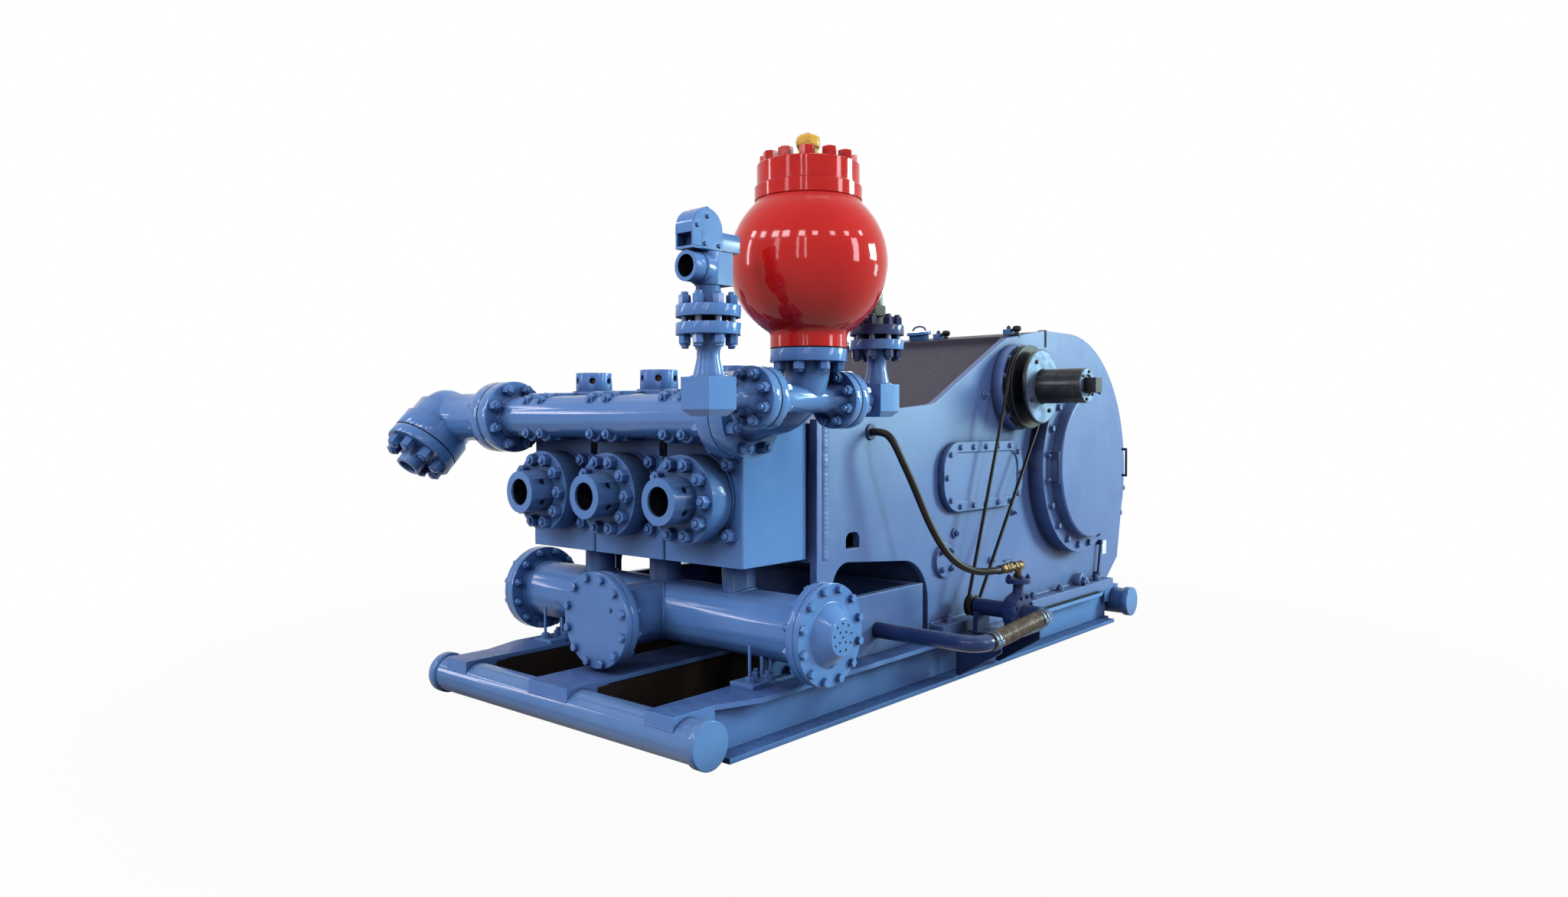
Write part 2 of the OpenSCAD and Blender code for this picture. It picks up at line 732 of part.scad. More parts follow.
// Foot plates and saddle ribs that carry the suction manifold on the side beams
module suction_stands() {
    foot_x = 130;
    color(BLUE) for (s = SIDES) difference() {
        union() {
            translate([s * stand_x, suction_y, beam_h + stand_t / 2]) cube([foot_x, stand_l, stand_t], center = true);
            translate([s * stand_x, suction_y, (beam_h + suction_z) / 2])
                cube([stand_t, stand_l * 0.8, suction_z - beam_h], center = true);
        }
        translate([0, suction_y, suction_z]) x_rod(-suction_w, suction_w, suction_d + 2 * seat);
    }
}

module discharge_manifold() {
    half = discharge_half;
    rim = discharge_flange_t;
    color(BLUE) translate([0, discharge_y, discharge_z]) {
        x_rod(-half, half, discharge_d);
        for (s = SIDES) translate([s * (half - rim / 2), 0, 0]) x_rod(-rim / 2, rim / 2, discharge_flange_d);
        for (i = SEATS) translate([i * module_pitch - pad_s / 2, 0, -pad_s / 2]) cube([pad_s, discharge_off, pad_s]);
        for (s = SIDES) translate([s * half, 0, 0])
            x_rod(-joint_gap, joint_gap, discharge_flange_d * 0.62);
    }
}

// Thick-walled elbow from the manifold's left end to an outlet that faces down and forward
module discharge_elbow() {
    face = discharge_half + joint_gap;
    lip = elbow_out_l * 0.5;
    color(BLUE) translate([0, discharge_y, discharge_z]) {
        x_rod(-face - discharge_flange_t, -face, discharge_flange_d);
        x_rod(-elbow_x, -face, elbow_neck_d);
        translate([-elbow_x, 0, 0]) {
            sphere(d = elbow_neck_d + 56);
            rotate([-elbow_tilt, 0, 0]) {
                z_rod(-elbow_out_l, 0, elbow_out_d);
                z_rod(-elbow_out_l, -elbow_out_l + lip, discharge_flange_d + 14);
                z_rod(-elbow_out_l - joint_gap, -elbow_out_l, discharge_flange_d * 0.62);
            }
        }
    }
}

module discharge_outlet_flange() {
    top = -elbow_out_l - joint_gap;
    tip = top - outlet_flange_t - stub_l;
    color(BLUE) translate([-elbow_x, discharge_y, discharge_z]) rotate([-elbow_tilt, 0, 0]) difference() {
        union() {
            z_rod(top - outlet_flange_t, top, discharge_flange_d + 14);
            z_rod(tip, top, stub_d);
        }
        z_rod(tip - over, top - outlet_flange_t / 2, stub_bore);
    }
}

// Forged cross: a sweep from the manifold up to the dampener with a neck to each side
module discharge_cross() {
    face = discharge_half + joint_gap;
    seat_z = damper_z - joint_gap;
    color(BLUE) {
        translate([0, discharge_y, discharge_z]) {
            x_rod(face, face + discharge_flange_t, discharge_flange_d);
            x_cone(face + discharge_flange_t - over, damper_x - sweep_r, sweep_d + 60, sweep_d);
            translate([damper_x - sweep_r, 0, sweep_r]) rotate([90, 0, 0]) rotate([0, 0, -90])
                rotate_extrude(angle = 90) translate([sweep_r, 0]) circle(d = sweep_d);
        }
        translate([damper_x, discharge_y, 0]) {
            z_rod(discharge_z + sweep_r - over, seat_z, sweep_d);
            z_rod(seat_z - seat_flange_t, seat_z, damper_foot_d);
            z_rod(seat_z - over, damper_z, damper_foot_d * 0.8);
        }
        translate([damper_x, 0, branch_z]) {
            y_rod(branch_front_y, branch_rear_y, branch_d);
            y_cone(branch_front_y + branch_flange_t, branch_front_y + 2 * branch_flange_t, branch_d + 50, branch_d);
            y_cone(branch_rear_y - 2 * branch_flange_t, branch_rear_y - branch_flange_t, branch_d, branch_d + 50);
            y_rod(branch_front_y + joint_gap, branch_front_y + branch_flange_t, branch_flange_d);
            y_rod(branch_rear_y - branch_flange_t, branch_rear_y - joint_gap, branch_flange_d);
        }
    }
}

// Half profile of the fillet between an upright of radius a and the ball; side is 1 above, -1 below
module ball_fillet(a, r, side) {
    ball = damper_ball_d / 2;
    rise = side * sqrt(pow(ball + r, 2) - pow(a + r, 2));
    k = ball / (ball + r);
    translate([0, damper_ball_h]) difference() {
        polygon([[0, 0], [0, rise], [a, rise], [(a + r) * k, rise * k]]);
        translate([a + r, rise]) circle(r);
    }
}

module dampener_body() {
    color(RED) translate([damper_x, discharge_y, damper_z]) {
        translate([0, 0, damper_ball_h]) sphere(d = damper_ball_d);
        z_rod(0, damper_ball_h, damper_foot_d);
        z_rod(damper_ball_h, damper_collar_h, damper_throat_d);
        z_rod(damper_collar_h, damper_collar_h + damper_collar_t, damper_collar_d);
        rotate_extrude() ball_fillet(damper_foot_d / 2, damper_foot_r, -1);
        rotate_extrude() ball_fillet(damper_throat_d / 2, damper_throat_r, 1);
    }
}

module dampener_cover() {
    base = damper_z + damper_collar_h + damper_collar_t;
    color(RED) translate([damper_x, discharge_y, base]) z_rod(0, damper_cover_t, damper_cover_d);
}

module dampener_charging_cap() {
    base = damper_z + damper_collar_h + damper_collar_t + damper_cover_t;
    color(YELLOW) translate([damper_x, discharge_y, base]) {
        z_rod(0, damper_cap_h * 0.5, 104);
        z_cone(damper_cap_h * 0.5, damper_cap_h, 104, 70);
    }
}

// Square block with bevelled lower edges, about its own centre
module branch_block() {
    h = block_s / 2;
    intersection() {
        cube(block_s, center = true);
        xz_plate(-h, block_s) polygon([[-h, h], [h, h], [h, block_bevel - h], [h - block_bevel, -h],
            [block_bevel - h, -h], [-h, block_bevel - h]]);
        yz_plate(-h, block_s) polygon([[-h, h], [h, h], [h, block_bevel - h], [h - block_bevel, -h],
            [block_bevel - h, -h], [-h, block_bevel - h]]);
    }
}

// Flange, pipe, block and riser of one side branch; side is the way it leads along Y
module side_branch(joint_y, side) {
    block_y = joint_y + side * block_set;
    waist_z = branch_z + block_s / 2 + riser_h * 0.36;
    hub = riser_waist_d + 34;
    translate([damper_x, 0, 0]) {
        translate([0, joint_y, branch_z]) mirror([0, side > 0 ? 0 : 1, 0]) {
            y_rod(0, branch_flange_t, branch_flange_d);
            y_cone(branch_flange_t, branch_flange_t * 2, branch_d + 40, branch_pipe_d);
            y_rod(branch_flange_t, block_set, branch_pipe_d);
        }
        translate([0, block_y, branch_z]) branch_block();
        translate([0, block_y, 0]) {
            z_cone(branch_z + block_s / 2, waist_z, riser_waist_d + 32, riser_waist_d);
            z_rod(waist_z, riser_joint_z, riser_waist_d);
            z_cone(riser_joint_z - riser_flange_t - 36, riser_joint_z - riser_flange_t, riser_waist_d, hub);
            z_rod(riser_joint_z - riser_flange_t, riser_joint_z, riser_flange_d);
            z_rod(riser_joint_z, riser_joint_z + riser_gap, hub);
        }
    }
}

module relief_branch() { color(BLUE) side_branch(branch_front_y, -1); }
module gauge_branch() { color(BLUE) side_branch(branch_rear_y, 1); }

// Relief valve: flange, neck, barrel with a forward outlet, and a flat lug at its back
module relief_valve() {
    neck_z = riser_top_z + barrel_h * 0.38;
    color(BLUE) translate([damper_x, relief_y, 0]) difference() {
        union() {
            z_rod(riser_top_z - riser_flange_t, riser_top_z, riser_flange_d);
            z_rod(riser_top_z, neck_z, barrel_d - 10);
            z_rod(neck_z, riser_top_z + barrel_h, barrel_d);
            translate([0, 0, riser_top_z + outlet_h]) y_rod(-outlet_l, 0, outlet_d);
            box([-barrel_d / 2, 0, neck_z], [barrel_d / 2, barrel_d * 0.78, riser_top_z + barrel_h]);
        }
        translate([0, 0, riser_top_z + outlet_h]) y_rod(-outlet_l - over, -barrel_d * 0.2, outlet_bore);
    }
}

// Arched hood with a forward lip, and the lever bar behind it
module relief_valve_hood() {
    base = riser_top_z + barrel_h;
    lip = 44;
    lip_h = hood_side * 0.8;
    color(BLUE) translate([damper_x, relief_y, base]) {
        yz_plate(-hood_l / 2, hood_l) {
            translate([-hood_w / 2, 0]) square([hood_w, hood_side]);
            translate([0, hood_side]) intersection() {
                circle(d = hood_w);
                translate([-hood_w, 0]) square([2 * hood_w, hood_w]);
            }
        }
        difference() {
            box([-hood_l / 2, -hood_w / 2 - lip, 0], [hood_l / 2, -hood_w / 2, lip_h]);
            box([-hood_l / 2 + 10, -hood_w / 2 - lip - over, 10], [hood_l / 2 - 10, -hood_w / 2 - 10, lip_h - 10]);
        }
        box([-hood_l * 0.35, hood_w / 2, 8], [hood_l * 0.35, hood_w / 2 + 62, hood_side]);
    }
}

module gauge_stub() {
    color("#7f8f80") translate([damper_x, gauge_y, 0]) {
        z_rod(riser_top_z - riser_flange_t, riser_top_z, riser_flange_d);
        z_rod(riser_top_z, riser_top_z + stub_top_h, stub_top_d);
        translate([0, 0, riser_top_z + stub_top_h * 0.3]) cylinder(d = stub_top_d * 1.5, h = stub_top_h * 0.3, $fn = 6);
    }
}

// Opening under the crosshead chamber: two corners of their own radius under one straight crown
module arch_opening() {
    front = [arch_y + arch_r, arch_z - arch_r];
    rear = [arch_y + arch_w - arch_rear_r, arch_z - arch_drop - arch_rear_r];
    between = rear - front;
    turn = atan2(between[1], between[0]) + acos((arch_r - arch_rear_r) / norm(between));
    crown = [cos(turn), sin(turn)];
    polygon([
        [arch_y, beam_h - over], [arch_y, front[1]], front + arch_r * crown, rear + arch_rear_r * crown,
        [arch_y + arch_w, rear[1]], [arch_y + arch_w, beam_h - over]
    ]);
    translate(front) circle(arch_r);
    translate(rear) circle(arch_rear_r);
}

// Outline of a side plate in Y and Z: rising deck, blended slope, crest and rear arc
module plate_outline() {
    fall = atan2(deck_rise, deck_l);
    lean = atan2(slope_z - ridge_z, slope_l);
    run = slope_r * tan((lean - fall) / 2);
    blend = [slope_y - run * cos(fall) - slope_r * sin(fall), ridge_z - run * sin(fall) + slope_r * cos(fall)];
    difference() {
        union() {
            polygon([
                [frame_y, beam_h], [toe_y, beam_h], [heel_y, heel_z],
                [arc_y + arc_r * cos(arc_end), arc_z - arc_r * sin(arc_end)],
                [arc_y, arc_top], [crest_y + crest_l, arc_top], [crest_y, slope_z],
                for (i = [6 : -1 : 0]) let (a = fall + (lean - fall) * i / 6)
                    blend + slope_r * [sin(a), -cos(a)],
                [frame_y, deck_z]
            ]);
            intersection() {
                translate([arc_y, arc_z]) circle(arc_r);
                polygon([
                    [arc_y, arc_z], [arc_y + 3 * arc_r * cos(arc_end), arc_z - 3 * arc_r * sin(arc_end)],
                    [arc_y + 3 * arc_r, arc_z + 2 * arc_r], [arc_y, arc_z + 2 * arc_r]
                ]);
            }
        }
        arch_opening();
        translate([hose_hole_y, hose_hole_z]) circle(d = hose_hole_d);
        translate([pinion_y, pinion_z]) circle(d = pinion_d + 2 * plate_gap);
        translate([frame_y + dee_set, dee_z]) {
            translate([-dee_w / 2, 0]) square([dee_w, dee_h - dee_r]);
            translate([dee_r - dee_w / 2, 0]) square([dee_w - 2 * dee_r, dee_h]);
            for (s = SIDES) translate([s * (dee_w / 2 - dee_r), dee_h - dee_r]) circle(dee_r);
        }
    }
}

// Side plate with its foot rail, blind port and drain boss
module frame_side() {
    rail_end = 20;
    yz_plate(inner_x, plate_t) plate_outline();
    box([plate_x - over, arch_y + arch_w + rail_end, beam_h], [plate_x + foot_w, toe_y - rail_end, beam_h + foot_h]);
    translate([0, frame_y + port_set, port_z]) x_rod(plate_x - over, plate_x + port_t, port_d);
    translate([0, arc_y + drain_set, beam_h + foot_h + drain_rise])
        x_rod(plate_x - over, plate_x + drain_l, drain_d);
}

module frame_side_left() { color(BLUE) mirror([1, 0, 0]) frame_side(); }
module frame_side_right() { color(BLUE) frame_side(); }

// Front wall, floor, deck and lower bulkhead between the side plates
module frame_walls() {
    floor_z = arch_z + 18;
    deck_end = slope_y - shell_inset;
    deck_end_z = ridge_z - shell_inset * (1 + deck_rise / deck_l);
    bulkhead_y = arch_y + arch_w + 10;
    color(BLUE) yz_plate(-inner_x, 2 * inner_x) {
        translate([frame_y, floor_z]) square([wall_t * 2, deck_z - shell_inset - floor_z]);
        translate([frame_y, floor_z]) square([bulkhead_y - frame_y + wall_t, wall_t]);
        polygon([
            [frame_y, deck_z - shell_inset - wall_t], [frame_y, deck_z - shell_inset],
            [deck_end, deck_end_z], [deck_end, deck_end_z - wall_t]
        ]);
        translate([bulkhead_y, beam_h]) square([wall_t, floor_z - beam_h + wall_t]);
        translate([bulkhead_y, beam_h]) square([toe_y - bulkhead_y - shell_inset, wall_t]);
    }
}

// Folded sheet hood over the crankcase: the slope, and a lid with its own front edge
module crankcase_hood() {
    y0 = slope_y - shell_inset + seat;
    z0 = ridge_z - shell_inset;
    z1 = slope_z - shell_inset;
    color("#5b5663") yz_plate(-inner_x, 2 * inner_x) polygon([
        [y0, z0], [crest_y, z1], [crest_y, slope_z + lid_h], [crest_y + crest_l, lid_z], [hood_end_y, lid_z],
        [hood_end_y, lid_z - wall_t], [crest_y + crest_l, lid_z - wall_t],
        [crest_y + wall_t, slope_z + lid_h - wall_t], [crest_y + wall_t, z1 - wall_t], [y0, z0 - wall_t]
    ]);
}

// Breather and two lifting blocks, square to the lid
module hood_fittings() {
    lean = atan2(lid_z - slope_z - lid_h, crest_l);
    color(BLUE) translate([0, crest_y, slope_z + lid_h]) rotate([lean, 0, 0]) translate([0, breather_set, 0]) {
        translate([breather_x, 0, 0]) {
            z_rod(0, breather_h, breather_d * 0.8);
            z_rod(breather_h - breather_lid, breather_h, breather_d);
        }
        for (x = [breather_x + eye_gap, inner_x - eye_l]) box([x, -eye_l / 2, 0], [x + eye_l, eye_l / 2, eye_l * 0.7]);
    }
}

// Curved shell that closes the rear between the side plates
module rear_shell() {
    r = arc_r - shell_inset;
    drop = r * sin(arc_end);
    back = r * cos(arc_end);
    corner_z = heel_z + shell_inset;
    color(BLUE) yz_plate(-inner_x, 2 * inner_x) {
        difference() {
            intersection() {
                translate([arc_y, arc_z]) circle(r);
                translate([hood_end_y + seat, arc_z - drop]) square([2 * r, 2 * r]);
            }
            translate([arc_y, arc_z]) circle(r - wall_t);
        }
        polygon([
            [arc_y + back, arc_z - drop + over / 2], [arc_y + back - wall_t, arc_z - drop + over / 2],
            [heel_y - shell_inset - wall_t, corner_z], [toe_y - shell_inset, beam_h + wall_t],
            [toe_y - shell_inset, beam_h], [heel_y - shell_inset, corner_z - wall_t * 0.3]
        ]);
    }
}

// Open-topped tank for the liner wash, under the crosshead chamber
module wash_tank() {
    x = plate_x - 6;
    lip = beam_h + tank_h;
    rise = max(0, lip - (arch_z - arch_drop - arch_rear_r));
    corner = arch_rear_r - sqrt(pow(arch_rear_r, 2) - pow(rise, 2));
    y0 = arch_y + tank_gap;
    y1 = arch_y + arch_w - corner - tank_gap;
    color(BLUE) difference() {
        box([-x, y0, beam_h], [x, y1, lip]);
        box([-x + tank_t, y0 + tank_t, beam_h + tank_t], [x - tank_t, y1 - tank_t, lip - tank_t]);
        box([-x + tank_rim, y0 + tank_rim, lip - tank_t - over], [x - tank_rim, y1 - tank_rim, lip + over]);
    }
}

// Rounded bolted frame with a sunk panel, one on each side
module inspection_covers() {
    color(BLUE) for (s = SIDES) mirror([s > 0 ? 0 : 1, 0, 0]) translate([0, window_y, window_z]) difference() {
        yz_plate(plate_x, window_t) round_rect(window_w, window_h, window_r);
        yz_plate(plate_x + window_t - window_recess, window_t)
            round_rect(window_w - 2 * window_rim, window_h - 2 * window_rim, window_r - window_rim);
    }
}

module main_bearing_covers() {
    color(BLUE) for (s = SIDES) mirror([s > 0 ? 0 : 1, 0, 0]) translate([plate_x, main_y, main_z]) {
        x_rod(0, main_flange_t, main_flange_d);
        x_rod(0, main_cover_l - main_bevel, main_drum_d);
        x_cone(main_cover_l - main_bevel, main_cover_l, main_drum_d, main_drum_d - 2 * main_bevel);
    }
}

// Bar handle that stands on a flange, about its own middle
module cover_handle() {
    for (s = SIDES) translate([0, 0, s * (handle_h - handle_d) / 2]) x_rod(0, handle_l - handle_d / 2, handle_d);
    translate([handle_l - handle_d / 2, 0, 0]) z_rod(-handle_h / 2, handle_h / 2, handle_d);
}

// Two handles on each main bearing cover's flange
module bearing_cover_handles() {
    color(BLUE) for (s = SIDES, a = SIDES) mirror([s > 0 ? 0 : 1, 0, 0])
        translate([plate_x + main_flange_t, main_y + a * (main_flange_d + main_drum_d) / 4, main_z]) cover_handle();
}

module pinion_bearings() {
    color(BLUE) for (s = SIDES) mirror([s > 0 ? 0 : 1, 0, 0]) translate([0, pinion_y, pinion_z]) difference() {
        union() {
            x_rod(plate_x, plate_x + bearing_t, bearing_d);
            x_rod(plate_x, plate_x + bearing_t + bearing_hub, bearing_d * 0.62);
        }
        x_rod(plate_x - over, plate_x + belt_out, pinion_d + 2 * bearing_gap);
    }
}

// Grooved belt pulley about x = 0
module grooved_pulley(d) {
    half = pulley_w / 2;
    difference() {
        x_rod(-half, half, d);
        difference() {
            x_rod(-belt_w / 2 - 5, belt_w / 2 + 5, d + 2 * over);
            x_rod(-belt_w, belt_w, d - 2 * groove_h);
        }
    }
}

// Shaft through both side plates with its square drives, belt pulley and thrower discs
module pinion_shaft() {
    color(DARK) translate([0, pinion_y, pinion_z]) {
        x_rod(-pinion_half, pinion_half, pinion_d);
        for (s = SIDES) {
            translate([s * (pinion_half + drive_l / 2 - over), 0, 0]) cube([drive_l + 2 * over, drive_s, drive_s], center = true);
            translate([s * (plate_x + disc_out - disc_t / 2), 0, 0]) x_rod(-disc_t / 2, disc_t / 2, disc_d);
        }
        translate([belt_x, 0, 0]) grooved_pulley(pulley_d);
    }
}

// Points of the loop about both pulleys, extra mm outside the floors of their grooves
function belt_line(extra) =
    let (
        big = pulley_d / 2 - groove_h + belt_gap + extra,
        small = spray_pulley_d / 2 - groove_h + belt_gap + extra,
        dy = spray_y - pinion_y,
        dz = spray_z - pinion_z,
        dir = atan2(dz, dy),
        swing = acos((big - small) / norm([dy, dz])),
        steps = 48
    ) concat(
        [for (i = [0 : steps]) let (a = dir + swing + (360 - 2 * swing) * i / steps)
            [pinion_y + big * cos(a), pinion_z + big * sin(a)]],
        [for (i = [0 : steps / 3]) let (a = dir - swing + 2 * swing * i * 3 / steps)
            [spray_y + small * cos(a), spray_z + small * sin(a)]]
    );

module spray_belt() {
    color(RUBBER) yz_plate(belt_x - belt_w / 2, belt_w) difference() {
        polygon(belt_line(belt_t));
        polygon(belt_line(0));
    }
}

// Volute, bearing housing, outlet and foot of the spray pump
module spray_pump() {
    start = belt_x + pulley_w / 2 + 5;
    base = beam_h + shelf_t;
    color(DEEP_BLUE) difference() {
        translate([0, spray_y, 0]) {
            translate([0, 0, spray_z]) {
                x_rod(start, volute_x, housing_d);
                x_rod(volute_x - housing_rim_t, volute_x, housing_rim_d);
                x_cone(volute_x - 2 * housing_rim_t, volute_x - housing_rim_t, housing_d, housing_rim_d);
                x_rod(volute_x, volute_x + volute_w, volute_d);
                x_rod(volute_x + volute_w - over, spray_hose_x - spray_bend_r, spray_pipe_d);
                translate([spray_hose_x - spray_bend_r, -spray_bend_r, 0])
                    rotate_extrude(angle = 90) translate([spray_bend_r, 0]) circle(d = spray_pipe_d);
                translate([outlet_x, 0, 0]) {
                    z_rod(0, spray_flange_h, spray_neck_d);
                    z_cone(volute_d * 0.4, volute_d * 0.62, volute_w, spray_neck_d);
                    z_rod(spray_flange_h - 2 * spray_flange_t, spray_flange_h, spray_flange_d);
                }
            }
            box([start + 20, -70, base], [start + 50, 70, spray_z - housing_d / 4]);
            box([start + 20, -90, base], [volute_x + volute_w / 2, 90, base + 18]);
            box([volute_x - 20, -60, base], [volute_x + volute_w / 2, 60, spray_z]);
        }
        translate([0, spray_y, spray_z]) x_rod(start - over, start + 60, spray_shaft_d + 2 * bearing_gap);
    }
}

module spray_pump_pulley() {
    color(DARK) translate([belt_x, spray_y, spray_z]) {
        grooved_pulley(spray_pulley_d);
        x_rod(0, pulley_w / 2 + 60, spray_shaft_d);
    }
}

// Shelf on the skid's side with two triangular gussets
module spray_pump_bracket() {
    x0 = beam_span / 2;
    color(BLUE) {
        box([plate_x + foot_w + seat, shelf_y, shelf_z], [x0 + shelf_l, shelf_y + shelf_w, shelf_z + shelf_t]);
        for (y = [shelf_y + 40, shelf_y + shelf_w - 40 - shelf_t]) xz_plate(y, shelf_t) polygon([
            [x0, shelf_z + over], [x0 + shelf_l, shelf_z + over], [x0 + shelf_l, shelf_z - 50],
            [x0 + 24, beam_flange_t + 10], [x0, beam_flange_t + 10]
        ]);
    }
}

// Suction pipe out of the tank's side with its bend along the skid
module spray_suction_pipe() {
    start = plate_x - 6;
    z = spray_z - 36;
    color(DEEP_BLUE) translate([0, spray_pipe_y, z]) {
        x_rod(start, spray_hose_x - spray_bend_r, spray_pipe_d);
        translate([spray_hose_x - spray_bend_r, spray_bend_r, 0]) rotate([0, 0, -90])
            rotate_extrude(angle = 90) translate([spray_bend_r, 0]) circle(d = spray_pipe_d);
    }
}

// Tube swept along a route of points with a ring at each, square to the route
function unit(v) = v / norm(v);
function heading(route, i) = unit(route[min(i + 1, len(route) - 1)] - route[max(i - 1, 0)]);
function across(t) = unit(cross(t, abs(t[2]) > 0.9 ? [0, 1, 0] : [0, 0, 1]));
module swept_tube(route, d, sides) {
    rings = len(route);
    points = [
        for (i = [0 : rings - 1])
            let (t = heading(route, i), a = across(t), b = cross(t, a))
                for (k = [0 : sides - 1])
                    route[i] + d / 2 * (a * cos(360 * k / sides) + b * sin(360 * k / sides))
    ];
    faces = concat(
        [[for (k = [0 : sides - 1]) k]],
        [[for (k = [sides - 1 : -1 : 0]) (rings - 1) * sides + k]],
        [
            for (i = [0 : rings - 2], k = [0 : sides - 1])
                let (n = (k + 1) % sides)
                    each [[i * sides + k, (i + 1) * sides + k, (i + 1) * sides + n],
                        [i * sides + k, (i + 1) * sides + n, i * sides + n]]
        ]);
    polyhedron(points, faces);
}

// Wire-wound hose from the suction pipe's bend to the pump's inlet bend
module spray_suction_hose() {
    y0 = spray_pipe_y + spray_bend_r;
    y1 = spray_y - spray_bend_r;
    z0 = spray_z - 36;
    steps = 10;
    color("#8d8a6c") swept_tube([
        for (i = [0 : steps])
            let (u = i / steps, v = max(0, min(1, (i - 1) / (steps - 2))), s = v * v * (3 - 2 * v))
                [spray_hose_x, y0 + (y1 - y0) * u, z0 + (spray_z - z0) * s]
    ], suction_hose_d, 24);
}

// Brass ball valve and hose tail on the pump's outlet
module wash_valve() {
    nut_d = valve_d * 1.36;
    color(BRASS) {
        translate([outlet_x, spray_y, 0]) z_rod(spray_top_z, valve_z, valve_d * 0.8);
        translate([outlet_x, 0, valve_z]) {
            y_rod(spray_y - valve_l, spray_y, valve_d);
            for (u = [0.30, 0.62]) translate([0, spray_y - valve_l * u, 0])
                rotate([-90, 0, 0]) cylinder(d = nut_d, h = valve_l * 0.12, $fn = 6);
            y_rod(spray_y - valve_l * 0.14, spray_y + valve_d * 0.7, valve_d * 1.2);
        }
    }
}

module wash_valve_lever() {
    color(STEEL) translate([outlet_x, spray_y - valve_l * 0.42, valve_z + valve_d / 2 + seat]) {
        z_rod(0, 24, 14);
        box([-9, -lever_l, 16], [9, 9, 24]);
    }
}

// Flanged gland that the wash hose leaves the right side plate by
module wash_gland() {
    color(DEEP_BLUE) translate([0, hose_hole_y, hose_hole_z]) {
        x_rod(inner_x, plate_x + gland_t, hose_hole_d - 2 * seat);
        x_rod(plate_x, plate_x + gland_t, hose_hole_d + 2 * gland_t);
    }
}

module wash_hose() { color(RUBBER) swept_tube(WASH_ROUTE, wash_d, 12); }

skid_cross_tubes();
skid_beam_left();
skid_beam_right();
skid_beam_centre();
skid_cross_members();
fluid_module_left();
fluid_module_centre();
fluid_module_right();
cylinder_cover_left();
cylinder_cover_centre();
cylinder_cover_right();
valve_covers();
suction_manifold();
suction_front_cover();
suction_end_cover_left();
suction_end_cover_right();
suction_stands();
discharge_manifold();
discharge_elbow();
discharge_outlet_flange();
discharge_cross();
dampener_body();
dampener_cover();
dampener_charging_cap();
relief_branch();
relief_valve();
relief_valve_hood();
gauge_branch();
gauge_stub();
frame_side_left();
frame_side_right();
frame_walls();
crankcase_hood();
hood_fittings();
rear_shell();
wash_tank();
inspection_covers();
main_bearing_covers();
bearing_cover_handles();
pinion_bearings();
pinion_shaft();
spray_belt();
spray_pump();
spray_pump_pulley();
spray_pump_bracket();
spray_suction_pipe();
spray_suction_hose();
wash_valve();
wash_valve_lever();
wash_gland();
wash_hose();
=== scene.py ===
"""Dress the skid-mounted mud pump: enamel, bolting, weld beads, hoses and a plain pale studio.

All lengths in the classes are millimetres, as on a drawing, and are turned into metres where a mesh is made.
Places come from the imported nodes, so a detail stays on the piece that carries it.
"""

from __future__ import annotations

import json
import logging
import math
from dataclasses import dataclass, field
from enum import Enum
from typing import Any, Callable, ClassVar, Iterable, Sequence

import bmesh
import bpy
from mathutils import Matrix, Vector, noise

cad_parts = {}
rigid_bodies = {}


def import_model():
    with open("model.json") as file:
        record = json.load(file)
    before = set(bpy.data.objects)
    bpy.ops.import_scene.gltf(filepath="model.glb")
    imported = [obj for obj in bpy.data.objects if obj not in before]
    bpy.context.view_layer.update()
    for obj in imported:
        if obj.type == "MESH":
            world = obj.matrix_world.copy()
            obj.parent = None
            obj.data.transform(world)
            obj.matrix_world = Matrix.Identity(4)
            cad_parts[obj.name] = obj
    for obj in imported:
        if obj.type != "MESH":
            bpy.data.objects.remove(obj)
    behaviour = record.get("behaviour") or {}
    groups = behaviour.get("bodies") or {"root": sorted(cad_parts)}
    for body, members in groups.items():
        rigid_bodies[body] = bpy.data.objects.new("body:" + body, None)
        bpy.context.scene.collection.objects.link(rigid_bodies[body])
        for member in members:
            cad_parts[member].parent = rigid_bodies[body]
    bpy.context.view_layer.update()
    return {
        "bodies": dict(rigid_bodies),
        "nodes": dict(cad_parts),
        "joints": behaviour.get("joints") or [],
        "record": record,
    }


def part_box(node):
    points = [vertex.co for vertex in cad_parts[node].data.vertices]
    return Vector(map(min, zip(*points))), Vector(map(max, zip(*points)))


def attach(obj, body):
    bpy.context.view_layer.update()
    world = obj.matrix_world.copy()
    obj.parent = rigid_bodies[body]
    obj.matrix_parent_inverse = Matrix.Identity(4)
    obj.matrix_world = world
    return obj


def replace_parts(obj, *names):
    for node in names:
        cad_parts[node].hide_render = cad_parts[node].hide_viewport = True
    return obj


LOG = logging.getLogger("mud_pump")

MM = 0.001
PUMP = "pump"
PINION = "pinion"

# Distance between two pumping lines, in millimetres.
LINE_GAP = 534.0
# Angle of the first of eight bolts, in degrees, so that two of them straddle the top.
EIGHT_START = 22.5
# Lengths below this count as nothing, in the unit of the place that asks.
TINY = 1e-6

X_AXIS = Vector((1.0, 0.0, 0.0))
Y_AXIS = Vector((0.0, 1.0, 0.0))
Z_AXIS = Vector((0.0, 0.0, 1.0))

Pair = tuple[float, float]
Triple = tuple[float, float, float]
Profile = Sequence[Pair]


